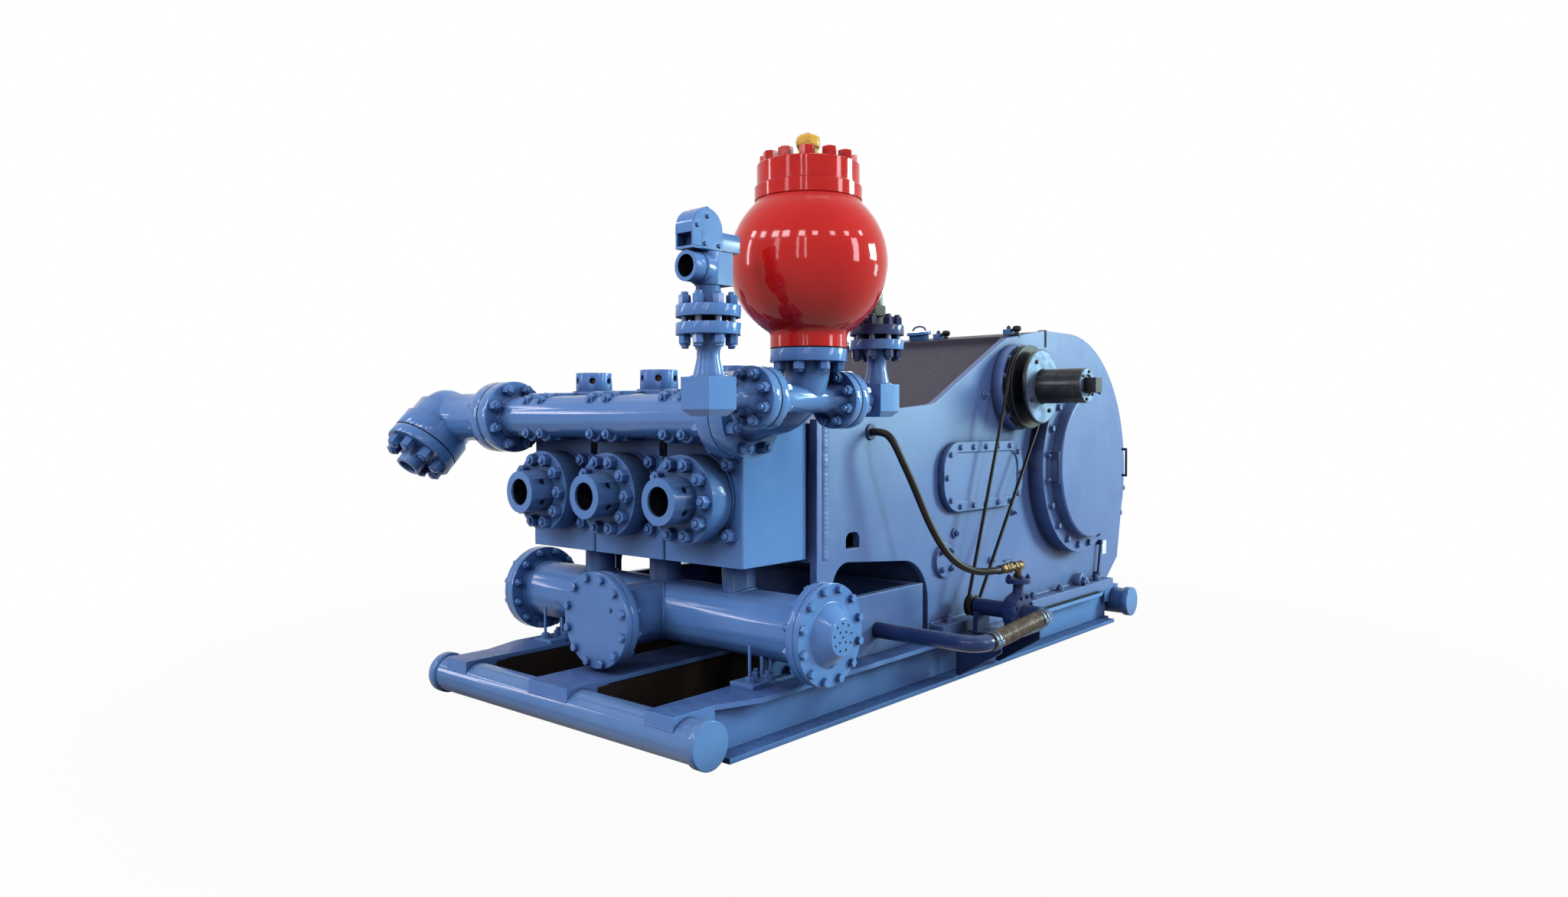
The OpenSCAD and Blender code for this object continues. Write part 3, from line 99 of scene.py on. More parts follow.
class Side(Enum):
    """The two sides of the pump, by the sign of X."""

    LEFT = -1
    RIGHT = 1

    @property
    def out(self) -> Vector:
        """Direction that points away from the pump on this side."""
        return X_AXIS * self.value

    def span(self, near: float, far: float) -> Pair:
        """Lower and higher X between two distances from the pump's middle plane.

        Args:
            near: Distance of the inner face, in millimetres.
            far: Distance of the outer face, in millimetres.

        Returns:
            The two places in order, in millimetres.
        """
        low, high = sorted((self.value * near, self.value * far))
        return low, high


class Column(Enum):
    """The three pumping lines across the fluid end."""

    LEFT = "left"
    CENTRE = "centre"
    RIGHT = "right"

    @property
    def x(self) -> float:
        """Place of the line across the pump, in millimetres."""
        return LINE_GAP * (list(Column).index(self) - 1)


def linear(code: str) -> tuple[float, float, float, float]:
    """Turn an sRGB hex colour into the linear colour that shaders take.

    Args:
        code: Colour as six hex digits after a hash sign.

    Returns:
        Linear red, green and blue with an alpha of 1.
    """
    parts = [int(code[i:i + 2], 16) / 255.0 for i in (1, 3, 5)]
    red, green, blue = (c / 12.92 if c <= 0.04045 else ((c + 0.055) / 1.055) ** 2.4 for c in parts)
    return red, green, blue, 1.0


def add_node(
    tree: bpy.types.NodeTree,
    kind: str,
    values: dict[str | int, Any] | None = None,
    links: dict[str | int, bpy.types.NodeSocket] | None = None,
    **settings: Any,
) -> bpy.types.Node:
    """Add a shader node with its settings, input values and incoming links.

    Args:
        tree: Node tree that takes the node.
        kind: Blender's name of the node type.
        values: Input values by socket name or number.
        links: Output sockets to join to inputs, by socket name or number.
        **settings: Attributes of the node itself.

    Returns:
        The new node.
    """
    node = tree.nodes.new(kind)
    for name, value in settings.items():
        setattr(node, name, value)
    for key, value in (values or {}).items():
        node.inputs[key].default_value = value
    for key, socket in (links or {}).items():
        tree.links.new(socket, node.inputs[key])
    return node


def blank_material(name: str) -> tuple[bpy.types.Material, bpy.types.NodeTree]:
    """Make a node material with nothing in it but its output.

    Args:
        name: Name of the material.

    Returns:
        The material and its emptied node tree.
    """
    material = bpy.data.materials.new(name)
    material.use_nodes = True
    material.node_tree.nodes.clear()
    add_node(material.node_tree, "ShaderNodeOutputMaterial")
    return material, material.node_tree


def per_metre(size_mm: float) -> float:
    """Scale of a noise whose features measure about size_mm."""
    return 1.0 / (size_mm * MM)


def at(x: float, y: float, z: float) -> Vector:
    """Point of the pump's frame, from millimetres to metres."""
    return Vector((x, y, z)) * MM


@dataclass(frozen=True)
class Paint:
    """Sprayed enamel on steel.

    The colour drifts a little over a plate, dust greys the faces that look up (on the skid the same mix is a dark
    painted shade on its tops), corners, hollows and gaps are darkened by occlusion as painted shade with some grime and
    go dull, and the gloss shows the orange peel of a spray gun and the slow waves of rolled plate. Scuffs break through
    it.
    """

    name: str
    colour: str
    faded: str
    # Colour that the occlusion mask mixes in: painted shade in corners, hollows and gaps, with some oily grime.
    grime_and_shade: str
    # Colour and share mixed onto faces that look up: pale dust on most finishes, a dark painted shade on the skid's
    # tops.
    top_dust_and_shade: str = "#8d97a8"
    top_dust_and_shade_share: float = 0.16
    roughness: float = 0.1
    mirror: float = 0.24
    scuff: str = "#7a6a58"
    scuff_from: float = 0.76
    ior: float = 1.45
    cloud_mm: float = 420.0
    patch_mm: float = 55.0
    scuff_mm: float = 38.0
    peel_mm: float = 11.0
    peel_depth_mm: float = 0.35
    wave_mm: float = 130.0
    wave_depth_mm: float = 1.2
    corner_mm: float = 190.0

    def material(self) -> bpy.types.Material:
        """Build the enamel's node material.

        Returns:
            The finished material.
        """
        material, tree = blank_material(self.name)
        place = add_node(tree, "ShaderNodeTexCoord").outputs["Object"]
        cloud = add_node(tree, "ShaderNodeTexNoise", {"Scale": per_metre(self.cloud_mm), "Detail": 6.0,
                                                      "Roughness": 0.62}, {"Vector": place})
        spread = add_node(tree, "ShaderNodeMapRange", {"From Min": 0.35, "From Max": 0.75, "To Max": 0.8},
                          {"Value": cloud.outputs["Fac"]})
        body = add_node(tree, "ShaderNodeMix", {6: linear(self.colour), 7: linear(self.faded)},
                        {0: spread.outputs["Result"]}, data_type="RGBA")
        # Faces that look up carry a thin, patchy dust; on the skid the same mix is a dark painted shade on the tops.
        normal = add_node(tree, "ShaderNodeNewGeometry").outputs["Normal"]
        facing = add_node(tree, "ShaderNodeSeparateXYZ", links={0: normal})
        patch = add_node(tree, "ShaderNodeTexNoise", {"Scale": per_metre(self.patch_mm), "Detail": 7.0,
                                                      "Roughness": 0.7}, {"Vector": place})
        upward = add_node(tree, "ShaderNodeMapRange", {"From Min": 0.55, "From Max": 1.0,
                                                       "To Max": self.top_dust_and_shade_share * 2.0},
                          {"Value": facing.outputs["Z"]})
        top_mask = add_node(tree, "ShaderNodeMath", links={0: upward.outputs["Result"], 1: patch.outputs["Fac"]},
                           operation="MULTIPLY")
        topped = add_node(tree, "ShaderNodeMix", {7: linear(self.top_dust_and_shade)},
                         {0: top_mask.outputs[0], 6: body.outputs[2]}, data_type="RGBA")
        # Painted shade, with some oily grime: occlusion darkens corners, hollows and gaps where faces meet, and dulls
        # them.
        corner = add_node(tree, "ShaderNodeAmbientOcclusion", {"Distance": self.corner_mm * MM}, samples=6)
        shade = add_node(tree, "ShaderNodeMapRange", {"From Min": 0.2, "From Max": 0.92, "To Min": 0.92, "To Max": 0.0},
                         {"Value": corner.outputs["AO"]})
        shaded = add_node(tree, "ShaderNodeMix", {7: linear(self.grime_and_shade)},
                         {0: shade.outputs["Result"], 6: topped.outputs[2]}, data_type="RGBA")
        # Scuffs and rust spots break through in small, streaky patches.
        rub = add_node(tree, "ShaderNodeTexNoise", {"Scale": per_metre(self.scuff_mm), "Detail": 9.0,
                                                    "Roughness": 0.72, "Distortion": 0.5}, {"Vector": place})
        bare = add_node(tree, "ShaderNodeMapRange", {"From Min": self.scuff_from, "From Max": self.scuff_from + 0.06,
                                                     "To Max": 0.75}, {"Value": rub.outputs["Fac"]})
        colour = add_node(tree, "ShaderNodeMix", {7: linear(self.scuff)},
                          {0: bare.outputs["Result"], 6: shaded.outputs[2]}, data_type="RGBA")
        # Real orange peel measures 2 or 3 mm, which is too fine to show here, so it is drawn coarser.
        peel = add_node(tree, "ShaderNodeTexNoise", {"Scale": per_metre(self.peel_mm), "Detail": 2.0},
                        {"Vector": place})
        wave = add_node(tree, "ShaderNodeTexNoise", {"Scale": per_metre(self.wave_mm), "Detail": 2.0},
                        {"Vector": place})
        slow = add_node(tree, "ShaderNodeBump", {"Strength": 0.25, "Distance": self.wave_depth_mm * MM},
                        {"Height": wave.outputs["Fac"]})
        bump = add_node(tree, "ShaderNodeBump", {"Strength": 0.2, "Distance": self.peel_depth_mm * MM},
                        {"Height": peel.outputs["Fac"], "Normal": slow.outputs["Normal"]})
        rough = add_node(tree, "ShaderNodeMapRange", {"To Min": self.roughness * 0.75, "To Max": self.roughness * 1.35},
                         {"Value": patch.outputs["Fac"]})
        # The same occlusion mask raises the roughness, so the painted-shade corners go dull.
        dull = add_node(tree, "ShaderNodeMath", {1: 0.6}, {0: shade.outputs["Result"], 2: rough.outputs["Result"]},
                        operation="MULTIPLY_ADD")
        shader = add_node(tree, "ShaderNodeBsdfPrincipled", {"IOR": self.ior, "Specular IOR Level": self.mirror},
                          {"Base Color": colour.outputs[2], "Roughness": dull.outputs[0],
                           "Normal": bump.outputs["Normal"]})
        tree.links.new(shader.outputs[0], tree.nodes["Material Output"].inputs[0])
        return material


@dataclass(frozen=True)
class Metal:
    """Bare or greased metal: turned or cast, with smears that change its shine."""

    name: str
    colour: str
    smear: str
    metallic: float = 1.0
    roughness: float = 0.35
    smear_mm: float = 60.0
    grain_mm: float = 4.0
    grain_depth_mm: float = 0.3

    def material(self) -> bpy.types.Material:
        """Build the metal's node material.

        Returns:
            The finished material.
        """
        material, tree = blank_material(self.name)
        place = add_node(tree, "ShaderNodeTexCoord").outputs["Object"]
        smear = add_node(tree, "ShaderNodeTexNoise", {"Scale": per_metre(self.smear_mm), "Detail": 6.0,
                                                      "Distortion": 0.6}, {"Vector": place})
        # Tool marks and casting sand are finer than this, and are drawn as coarse as they need to show.
        grain = add_node(tree, "ShaderNodeTexNoise", {"Scale": per_metre(self.grain_mm), "Detail": 3.0},
                         {"Vector": place})
        share = add_node(tree, "ShaderNodeMapRange", {"From Min": 0.4, "From Max": 0.65},
                         {"Value": smear.outputs["Fac"]})
        colour = add_node(tree, "ShaderNodeMix", {6: linear(self.colour), 7: linear(self.smear)},
                          {0: share.outputs["Result"]}, data_type="RGBA")
        rough = add_node(tree, "ShaderNodeMapRange", {"To Min": self.roughness * 0.7, "To Max": self.roughness * 1.5},
                         {"Value": smear.outputs["Fac"]})
        bump = add_node(tree, "ShaderNodeBump", {"Strength": 0.2, "Distance": self.grain_depth_mm * MM},
                        {"Height": grain.outputs["Fac"]})
        shader = add_node(tree, "ShaderNodeBsdfPrincipled", {"Metallic": self.metallic},
                          {"Base Color": colour.outputs[2], "Roughness": rough.outputs["Result"],
                           "Normal": bump.outputs["Normal"]})
        tree.links.new(shader.outputs[0], tree.nodes["Material Output"].inputs[0])
        return material


@dataclass(frozen=True)
class Rubber:
    """Vulcanised rubber: dark and nearly matt, a little chalky, with a fine cloth or mould texture."""

    name: str
    colour: str
    chalk: str
    roughness: float = 0.55
    mirror: float = 0.2
    ior: float = 1.5
    chalk_mm: float = 45.0
    texture_mm: float = 5.0
    texture_depth_mm: float = 0.6

    def material(self) -> bpy.types.Material:
        """Build the rubber's node material.

        Returns:
            The finished material.
        """
        material, tree = blank_material(self.name)
        place = add_node(tree, "ShaderNodeTexCoord").outputs["Object"]
        chalk = add_node(tree, "ShaderNodeTexNoise", {"Scale": per_metre(self.chalk_mm), "Detail": 6.0},
                         {"Vector": place})
        # The cloth's weave measures 1 or 2 mm, and is drawn coarser so that it shows.
        mould = add_node(tree, "ShaderNodeTexVoronoi", {"Scale": per_metre(self.texture_mm)}, {"Vector": place})
        share = add_node(tree, "ShaderNodeMapRange", {"From Min": 0.45, "From Max": 0.75, "To Max": 0.7},
                         {"Value": chalk.outputs["Fac"]})
        colour = add_node(tree, "ShaderNodeMix", {6: linear(self.colour), 7: linear(self.chalk)},
                          {0: share.outputs["Result"]}, data_type="RGBA")
        bump = add_node(tree, "ShaderNodeBump", {"Strength": 0.3, "Distance": self.texture_depth_mm * MM},
                        {"Height": mould.outputs["Distance"]})
        shader = add_node(tree, "ShaderNodeBsdfPrincipled",
                          {"Roughness": self.roughness, "IOR": self.ior, "Specular IOR Level": self.mirror},
                          {"Base Color": colour.outputs[2], "Normal": bump.outputs["Normal"]})
        tree.links.new(shader.outputs[0], tree.nodes["Material Output"].inputs[0])
        return material


class Finish(Enum):
    """Every finish on the pump, with the record's slot that it belongs to."""

    # Thick gloss on castings: window shapes stand in it, its colour drifts, and its corners are dark.
    BLUE = ("blue_enamel", Paint("sprayed_blue_enamel", "#507cb6", "#5c87c0", "#13204e"))
    # The same gloss with its occlusion darkening spread wide: painted shade, nearly black between the nuts and the
    # covers.
    COVER = ("blue_enamel", Paint("grimed_blue_enamel", "#507cb6", "#5c87c0", "#090c24", corner_mm=520.0))
    # Satin on large plates: broad, blurred reflections that wander with the plate's waves.
    PLATE = ("blue_enamel", Paint("satin_blue_enamel", "#456299", "#5773a6", "#121530", roughness=0.34, mirror=0.45,
                                  wave_mm=240.0, wave_depth_mm=2.0))
    # The same satin, with painted shade that spreads wide from each step of a turned cover.
    BEARING = ("blue_enamel", Paint("grimed_satin_enamel", "#456299", "#5773a6", "#0b0e2c", roughness=0.34,
                                    mirror=0.4, corner_mm=430.0))
    # Enamel that is walked on: dull, darkened on top by painted shade, and scuffed in spots.
    SKID = ("blue_enamel", Paint("scuffed_blue_enamel", "#537cb8", "#608ac2", "#121a44", top_dust_and_shade="#242e60",
                                 top_dust_and_shade_share=0.5, roughness=0.36, scuff_from=0.78, peel_depth_mm=0.15,
                                 wave_depth_mm=0.3))
    # Enamel rubbed by slings: pale streaks of bare metal.
    TUBE = ("blue_enamel", Paint("rubbed_blue_enamel", "#4f7bb2", "#5c86bc", "#0f1334", scuff="#8f9a9e",
                                 scuff_from=0.68))
    # Old dark enamel: half its gloss is gone, and it is chipped all over.
    NAVY = ("blue_enamel", Paint("weathered_navy_enamel", "#2b3a62", "#40517c", "#10142c", roughness=0.2,
                                 scuff_from=0.62))
    # Mud dried on steel, kept almost black to serve as painted shade of the skid's inner cavity, with no shine.
    MUD = ("greased_steel", Paint("dried_drilling_mud", "#211c18", "#2e2721", "#0d0b0a", top_dust_and_shade="#3a3129",
                                  roughness=0.75, mirror=0.15))
    # High gloss on a turned ball: the clearest mirror on the pump.
    RED = ("red_enamel", Paint("sprayed_red_enamel", "#b4130f", "#c01e17", "#400810", top_dust_and_shade="#c46a5c",
                               cloud_mm=300.0, roughness=0.07, mirror=0.3))
    # Paint laid on thickly by brush: close patches of light and dark yellow.
    YELLOW = ("yellow_enamel", Paint("brushed_yellow_enamel", "#c99a2c", "#dcb650", "#5c3f10", cloud_mm=40.0,
                                     top_dust_and_shade="#b89c60"))
    # Primer without a top coat: flat and pale.
    GREEN_GREY = ("grey_green_paint", Paint("grey_green_primer", "#6d7f76", "#8b9a8e", "#2a3234", roughness=0.35))
    # Dark enamel on sheet: a wide, soft sheen and dust.
    HOOD = ("hood_paint", Paint("brown_grey_enamel", "#2e2b3a", "#393546", "#14121b", top_dust_and_shade="#46424e", roughness=0.5))
    # Factory enamel on a small casting: dark, with half a gloss.
    PUMP_BLUE = ("pump_paint", Paint("dark_blue_enamel", "#203260", "#2e4474", "#0b0e28", roughness=0.24))
    # Forged steel under oil: almost black, with wet smears.
    GREASE = ("greased_steel", Metal("oiled_forged_steel", "#22272e", "#0d1015", metallic=0.6, roughness=0.28))
    # Turned steel gone dull: cold grey with a faint shine.
    STEEL = ("bare_steel", Metal("turned_steel", "#5b6984", "#47536a", metallic=0.8, roughness=0.46))
    # Etched aluminium sheet: pale and even.
    TAG = ("bare_steel", Metal("etched_aluminium", "#c9cdd2", "#b4b8be", metallic=0.4, roughness=0.5))
    # Cast brass gone brown: dull, with a warm shine.
    BRASS = ("brass", Metal("cast_brass", "#6d5535", "#463521", metallic=0.9, roughness=0.44, smear_mm=25.0))
    # Moulded rubber: a long, soft highlight on black.
    RUBBER = ("rubber", Rubber("black_rubber", "#120f0e", "#231c15", roughness=0.42))
    # Ribbed hose: olive, with a bloom of chalk.
    RIBBED = ("ribbed_hose", Rubber("ribbed_olive_rubber", "#4a4238", "#8a8070", roughness=0.32))
    # Pressed board: a matt dark line between two faces.
    GASKET = ("rubber", Rubber("gasket_board", "#0c0c12", "#16151d", roughness=0.8))

    @property
    def slot(self) -> str:
        """The record's material slot."""
        return self.value[0]

    def material(self) -> bpy.types.Material:
        """Give the finish's material, which is made on first use.

        Returns:
            The one material that all pieces with this finish share.
        """
        if self not in MADE:
            MADE[self] = self.value[1].material()
        return MADE[self]


MADE: dict[Finish, bpy.types.Material] = {}


@dataclass(frozen=True)
class Span:
    """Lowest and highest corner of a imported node, in metres."""

    low: Vector
    high: Vector

    @classmethod
    def of(cls, node: str) -> "Span":
        """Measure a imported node.

        Args:
            node: Name of the node.

        Returns:
            The node's box.
        """
        low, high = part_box(node)
        return cls(Vector(low), Vector(high))

    @property
    def mid(self) -> Vector:
        """Centre of the box."""
        return (self.low + self.high) / 2.0


def stand(place: Vector, axis: Vector, spin: float = 0.0) -> Matrix:
    """Frame whose Z runs along an axis from a place.

    Args:
        place: Origin of the frame, in metres.
        axis: Direction of the frame's Z.
        spin: Turn about that axis, in degrees.

    Returns:
        The frame as a 4 by 4 matrix.
    """
    turn = axis.to_track_quat("Z", "Y").to_matrix().to_4x4()
    return Matrix.Translation(place) @ turn @ Matrix.Rotation(math.radians(spin), 4, "Z")


def ring_places(centre: Vector, axis: Vector, pitch_d: float, count: int, start: float = 0.0) -> list[Vector]:
    """Places of bolts on a pitch circle.

    Args:
        centre: Centre of the circle, in metres.
        axis: Axis of the circle.
        pitch_d: Pitch circle's diameter, in millimetres.
        count: Number of bolts.
        start: Angle of the first bolt from the horizontal, in degrees.

    Returns:
        One place for each bolt, in metres.
    """
    level = X_AXIS if abs(axis.x) < 0.9 else Y_AXIS
    first = (level - axis * level.dot(axis)).normalized()
    second = axis.cross(first)
    turns = [math.radians(start + 360.0 * i / count) for i in range(count)]
    return [centre + (first * math.cos(a) + second * math.sin(a)) * (pitch_d / 2.0 * MM) for a in turns]


@dataclass(frozen=True)
class Fastener:
    """A hexagon nut or bolt head with the stud's end standing out of it, in millimetres."""

    flats: float
    height: float
    stud: float = 0.0
    proud: float = 0.0
    washer: float = 0.0
    washer_t: float = 5.5
    washer_bevel: float = 1.5

    def add(self, sketch: "Sketch", place: Vector, axis: Vector, spin: float = 0.0) -> None:
        """Set one fastener on a face.

        Args:
            sketch: Sketch that takes the meshes.
            place: Point on the face, in metres.
            axis: Direction out of the face.
            spin: Turn of the hexagon, in degrees.
        """
        frame = stand(place, axis, spin)
        r = self.flats / math.sqrt(3.0)
        h = self.height
        if self.washer:
            rim, t, b = self.washer / 2.0, self.washer_t, self.washer_bevel
            sketch.lathe(frame, [(0, 0), (rim, 0), (rim, t - b), (rim - b, t), (0, t)], 20)
        sketch.lathe(frame, [(0, 0), (r, 0), (r, h * 0.92), (r * 0.88, h), (0, h)], 6)
        if self.proud:
            s = self.stud / 2.0
            tip = h + self.proud
            sketch.lathe(frame, [(0, h - 1), (s, h - 1), (s, tip - s * 0.2), (s * 0.75, tip), (0, tip)], 14)


class Sketch:
    """Gathers the meshes of one piece and turns them into a Blender object."""

    # A weld's ripples: their spacing in millimetres, their share of its size and the turn from point to point.
    BEAD_STEP: ClassVar[float] = 8.0
    BEAD_RIPPLE: ClassVar[float] = 0.14
    BEAD_TURN: ClassVar[float] = 1.9
    # A hand weld's scales: their spacing and the size of its uneven spots in millimetres, and the share of these.
    SEAM_STEP: ClassVar[float] = 7.0
    SEAM_SPOT: ClassVar[float] = 45.0
    SEAM_UNEVEN: ClassVar[float] = 0.35
    SEAM_SIDES: ClassVar[int] = 8

    def __init__(self, name: str, finish: Finish, body: str = PUMP) -> None:
        """Start an empty piece.

        Args:
            name: Name of the piece.
            finish: Finish of the whole piece.
            body: CAD body that the piece rides on.
        """
        self.name = name
        self.finish = finish
        self.body = body
        self.mesh = bmesh.new()

    def lathe(self, frame: Matrix, profile: Profile, sides: int = 32) -> None:
        """Turn a profile about the frame's Z.

        Args:
            frame: Place of the profile, from stand().
            profile: Radius and height of each point, in millimetres.
            sides: Number of facets round the turn.
        """
        rings = []
        for radius, height in profile:
            if radius < TINY:
                rings.append([self.mesh.verts.new(frame @ Vector((0, 0, height * MM)))])
                continue
            angles = [2.0 * math.pi * i / sides for i in range(sides)]
            rings.append([
                self.mesh.verts.new(frame @ Vector((radius * MM * math.cos(a), radius * MM * math.sin(a), height * MM)))
                for a in angles
            ])
        for low, high in zip(rings, rings[1:]):
            for i in range(sides):
                n = (i + 1) % sides
                ring = [low[i % len(low)], low[n % len(low)], high[n % len(high)], high[i % len(high)]]
                corners = list(dict.fromkeys(ring))
                if len(corners) > 2:
                    self.mesh.faces.new(corners)

    def hoop(self, centre: Vector, axis: Vector, outer: float, inner: float, depth: float, sides: int = 64) -> None:
        """Add a flat ring that stands on a face.

        Args:
            centre: Centre of the ring's foot, in metres.
            axis: Direction out of the face.
            outer: Outside diameter, in millimetres.
            inner: Inside diameter, in millimetres.
            depth: Height of the ring, in millimetres.
            sides: Facets round the ring.
        """
        r, b = outer / 2.0, inner / 2.0
        self.lathe(stand(centre, axis), [(b, 0), (r, 0), (r, depth), (b, depth), (b, 0)], sides)

    def tube(self, points: Sequence[Vector], radius: float | Callable[[float], float], sides: int = 12,
             closed: bool = False) -> None:
        """Sweep a circle along points.

        Args:
            points: Axis of the tube, in metres.
            radius: Radius in millimetres, or its value for a share of the length from 0 to 1.
            sides: Facets round the tube.
            closed: Whether the last point joins the first.
        """
        size = radius if callable(radius) else (lambda _share: radius)
        count = len(points)
        rings = []
        across = None
        for i, point in enumerate(points):
            before = points[(i - 1) % count] if closed else points[max(i - 1, 0)]
            after = points[(i + 1) % count] if closed else points[min(i + 1, count - 1)]
            ahead = (after - before).normalized()
            if across is None:
                across = ahead.orthogonal().normalized()
            across = (across - ahead * across.dot(ahead)).normalized()
            other = ahead.cross(across)
            r = size(i / max(count - 1, 1)) * MM
            rings.append([
                self.mesh.verts.new(point + (across * math.cos(a) + other * math.sin(a)) * r)
                for a in (2.0 * math.pi * k / sides for k in range(sides))
            ])
        pairs = list(zip(rings, rings[1:])) + ([(rings[-1], rings[0])] if closed else [])
        for low, high in pairs:
            for k in range(sides):
                n = (k + 1) % sides
                self.mesh.faces.new((low[k], low[n], high[n], high[k]))
        if not closed:
            self.mesh.faces.new(rings[0][::-1])
            self.mesh.faces.new(rings[-1])

    def slab(self, frame: Matrix, outline: Sequence[Pair], depth: float, bevel: float = 0.0) -> None:
        """Extrude an outline along the frame's Z, with bevelled rims.

        Args:
            frame: Place of the outline, from stand().
            outline: Points in the frame's X and Y, in millimetres, anticlockwise.
            depth: Thickness in millimetres.
            bevel: Width of the bevel on the upper rim, in millimetres.
        """
        low = [self.mesh.verts.new(frame @ Vector((x * MM, y * MM, 0.0))) for x, y in outline]
        middle_x = sum(x for x, _ in outline) / len(outline)
        middle_y = sum(y for _, y in outline) / len(outline)
        rows = [low]
        for inset, height in ((0.0, depth - bevel), (bevel, depth)):
            row = []
            for x, y in outline:
                reach = math.hypot(x - middle_x, y - middle_y) or 1.0
                k = 1.0 - inset / reach
                spot = (middle_x + (x - middle_x) * k, middle_y + (y - middle_y) * k, height)
                row.append(self.mesh.verts.new(frame @ (Vector(spot) * MM)))
            rows.append(row)
        count = len(outline)
        for under, over in zip(rows, rows[1:]):
            for i in range(count):
                n = (i + 1) % count
                self.mesh.faces.new((under[i], under[n], over[n], over[i]))
        self.mesh.faces.new(low[::-1])
        self.mesh.faces.new(rows[-1])

    def block(self, low: Vector, high: Vector, bevel: float = 2.0) -> None:
        """Add a block between two corners, with its upper rim bevelled.

        Args:
            low: Lowest corner, in metres.
            high: Highest corner, in metres.
            bevel: Width of the bevel, in millimetres.
        """
        size = (high - low) / MM
        outline = [(0.0, 0.0), (size.x, 0.0), (size.x, size.y), (0.0, size.y)]
        self.slab(Matrix.Translation(low), outline, size.z, min(bevel, size.x / 3, size.y / 3, size.z / 2))

    def box(self, x: Sequence[float], y: Sequence[float], z: Sequence[float], bevel: float = 2.0) -> None:
        """Add a block from its ranges along the three axes.

        Args:
            x: Lowest and highest X, in millimetres.
            y: Lowest and highest Y, in millimetres.
            z: Lowest and highest Z, in millimetres.
            bevel: Width of the bevel, in millimetres.
        """
        self.block(at(x[0], y[0], z[0]), at(x[1], y[1], z[1]), bevel)

    def fasteners(self, kind: Fastener, places: Iterable[Vector], axis: Vector, spin: float = 11.0) -> None:
        """Set a fastener at each place, each turned a little from the last.

        Args:
            kind: The fastener.
            places: Points on the face, in metres.
            axis: Direction out of the face.
            spin: Turn from one hexagon to the next, in degrees.
        """
        for i, place in enumerate(places):
            kind.add(self, place, axis, spin * i)

    def joint(self, kind: Fastener, centre: Vector, axis: Vector, grip: float, pitch: float) -> None:
        """Bolt a flanged joint right through with eight studs, with a nut on each outer face.

        Args:
            kind: The nut on both faces.
            centre: Middle of the joint, in metres.
            axis: Axis of the joint.
            grip: Distance over the two outer faces, in millimetres.
            pitch: Pitch circle's diameter, in millimetres.
        """
        for way in (1.0, -1.0):
            face = centre + axis * (way * grip / 2.0 * MM)
            self.fasteners(kind, ring_places(face, axis, pitch, 8, EIGHT_START), axis * way)

    def bead(self, points: Sequence[Vector], size: float = 7.0, closed: bool = True) -> None:
        """Lay a weld bead with small ripples along points.

        Args:
            points: Line of the weld, in metres.
            size: Radius of the bead, in millimetres.
            closed: Whether the bead is a ring.
        """
        dense: list[Vector] = []
        pairs = list(zip(points, points[1:])) + ([(points[-1], points[0])] if closed else [])
        for a, b in pairs:
            steps = max(1, round((b - a).length / (self.BEAD_STEP * MM)))
            dense += [a.lerp(b, k / steps) for k in range(steps)]
        if not closed:
            dense.append(points[-1])
        turns = max(len(dense) - 1, 1) * self.BEAD_TURN
        self.tube(dense, lambda share: size * (1.0 + self.BEAD_RIPPLE * math.sin(share * turns)), 6, closed)

    def seam(self, start: Vector, end: Vector, out: Vector, width: float, height: float) -> None:
        """Lay a broad hand weld on a plate, in overlapping scales of uneven height.

        Args:
            start: First end of the weld, in metres.
            end: Other end of the weld, in metres.
            out: Direction out of the plate.
            width: Width of the weld, in millimetres.
            height: Height of the weld, in millimetres.
        """
        across = out.cross((end - start).normalized())
        steps = max(4, round((end - start).length / (self.SEAM_STEP * MM)))
        rows = []
        for i in range(steps + 1):
            middle = start.lerp(end, i / steps)
            uneven = 1.0 + self.SEAM_UNEVEN * noise.noise(middle * per_metre(self.SEAM_SPOT))
            scale = 0.8 + 0.2 * abs(math.sin(i * 0.9))
            row = []
            for k in range(self.SEAM_SIDES + 1):
                a = math.pi * k / self.SEAM_SIDES
                side = across * (math.cos(a) * width / 2.0 * MM * (0.9 + 0.1 * uneven))
                row.append(self.mesh.verts.new(middle + side + out * (math.sin(a) * height * MM * uneven * scale)))
            rows.append(row)
        for low, high in zip(rows, rows[1:]):
            for k in range(self.SEAM_SIDES):
                self.mesh.faces.new((low[k], low[k + 1], high[k + 1], high[k]))

    def finish_piece(self, smooth_deg: float = 32.0) -> bpy.types.Object:
        """Turn the sketch into an object, paint it and hang it on its body.

        Args:
            smooth_deg: Edges sharper than this stay sharp, in degrees.

        Returns:
            The new object.
        """
        bmesh.ops.remove_doubles(self.mesh, verts=self.mesh.verts, dist=TINY)
        bmesh.ops.recalc_face_normals(self.mesh, faces=self.mesh.faces)
        data = bpy.data.meshes.new(self.name)
        self.mesh.to_mesh(data)
        self.mesh.free()
        data.shade_smooth()
        data.set_sharp_from_angle(angle=math.radians(smooth_deg))
        data.materials.append(self.finish.material())
        piece = bpy.data.objects.new(self.name, data)
        bpy.context.scene.collection.objects.link(piece)
        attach(piece, self.body)
        LOG.info("made %s on %s", self.name, self.body)
        return piece


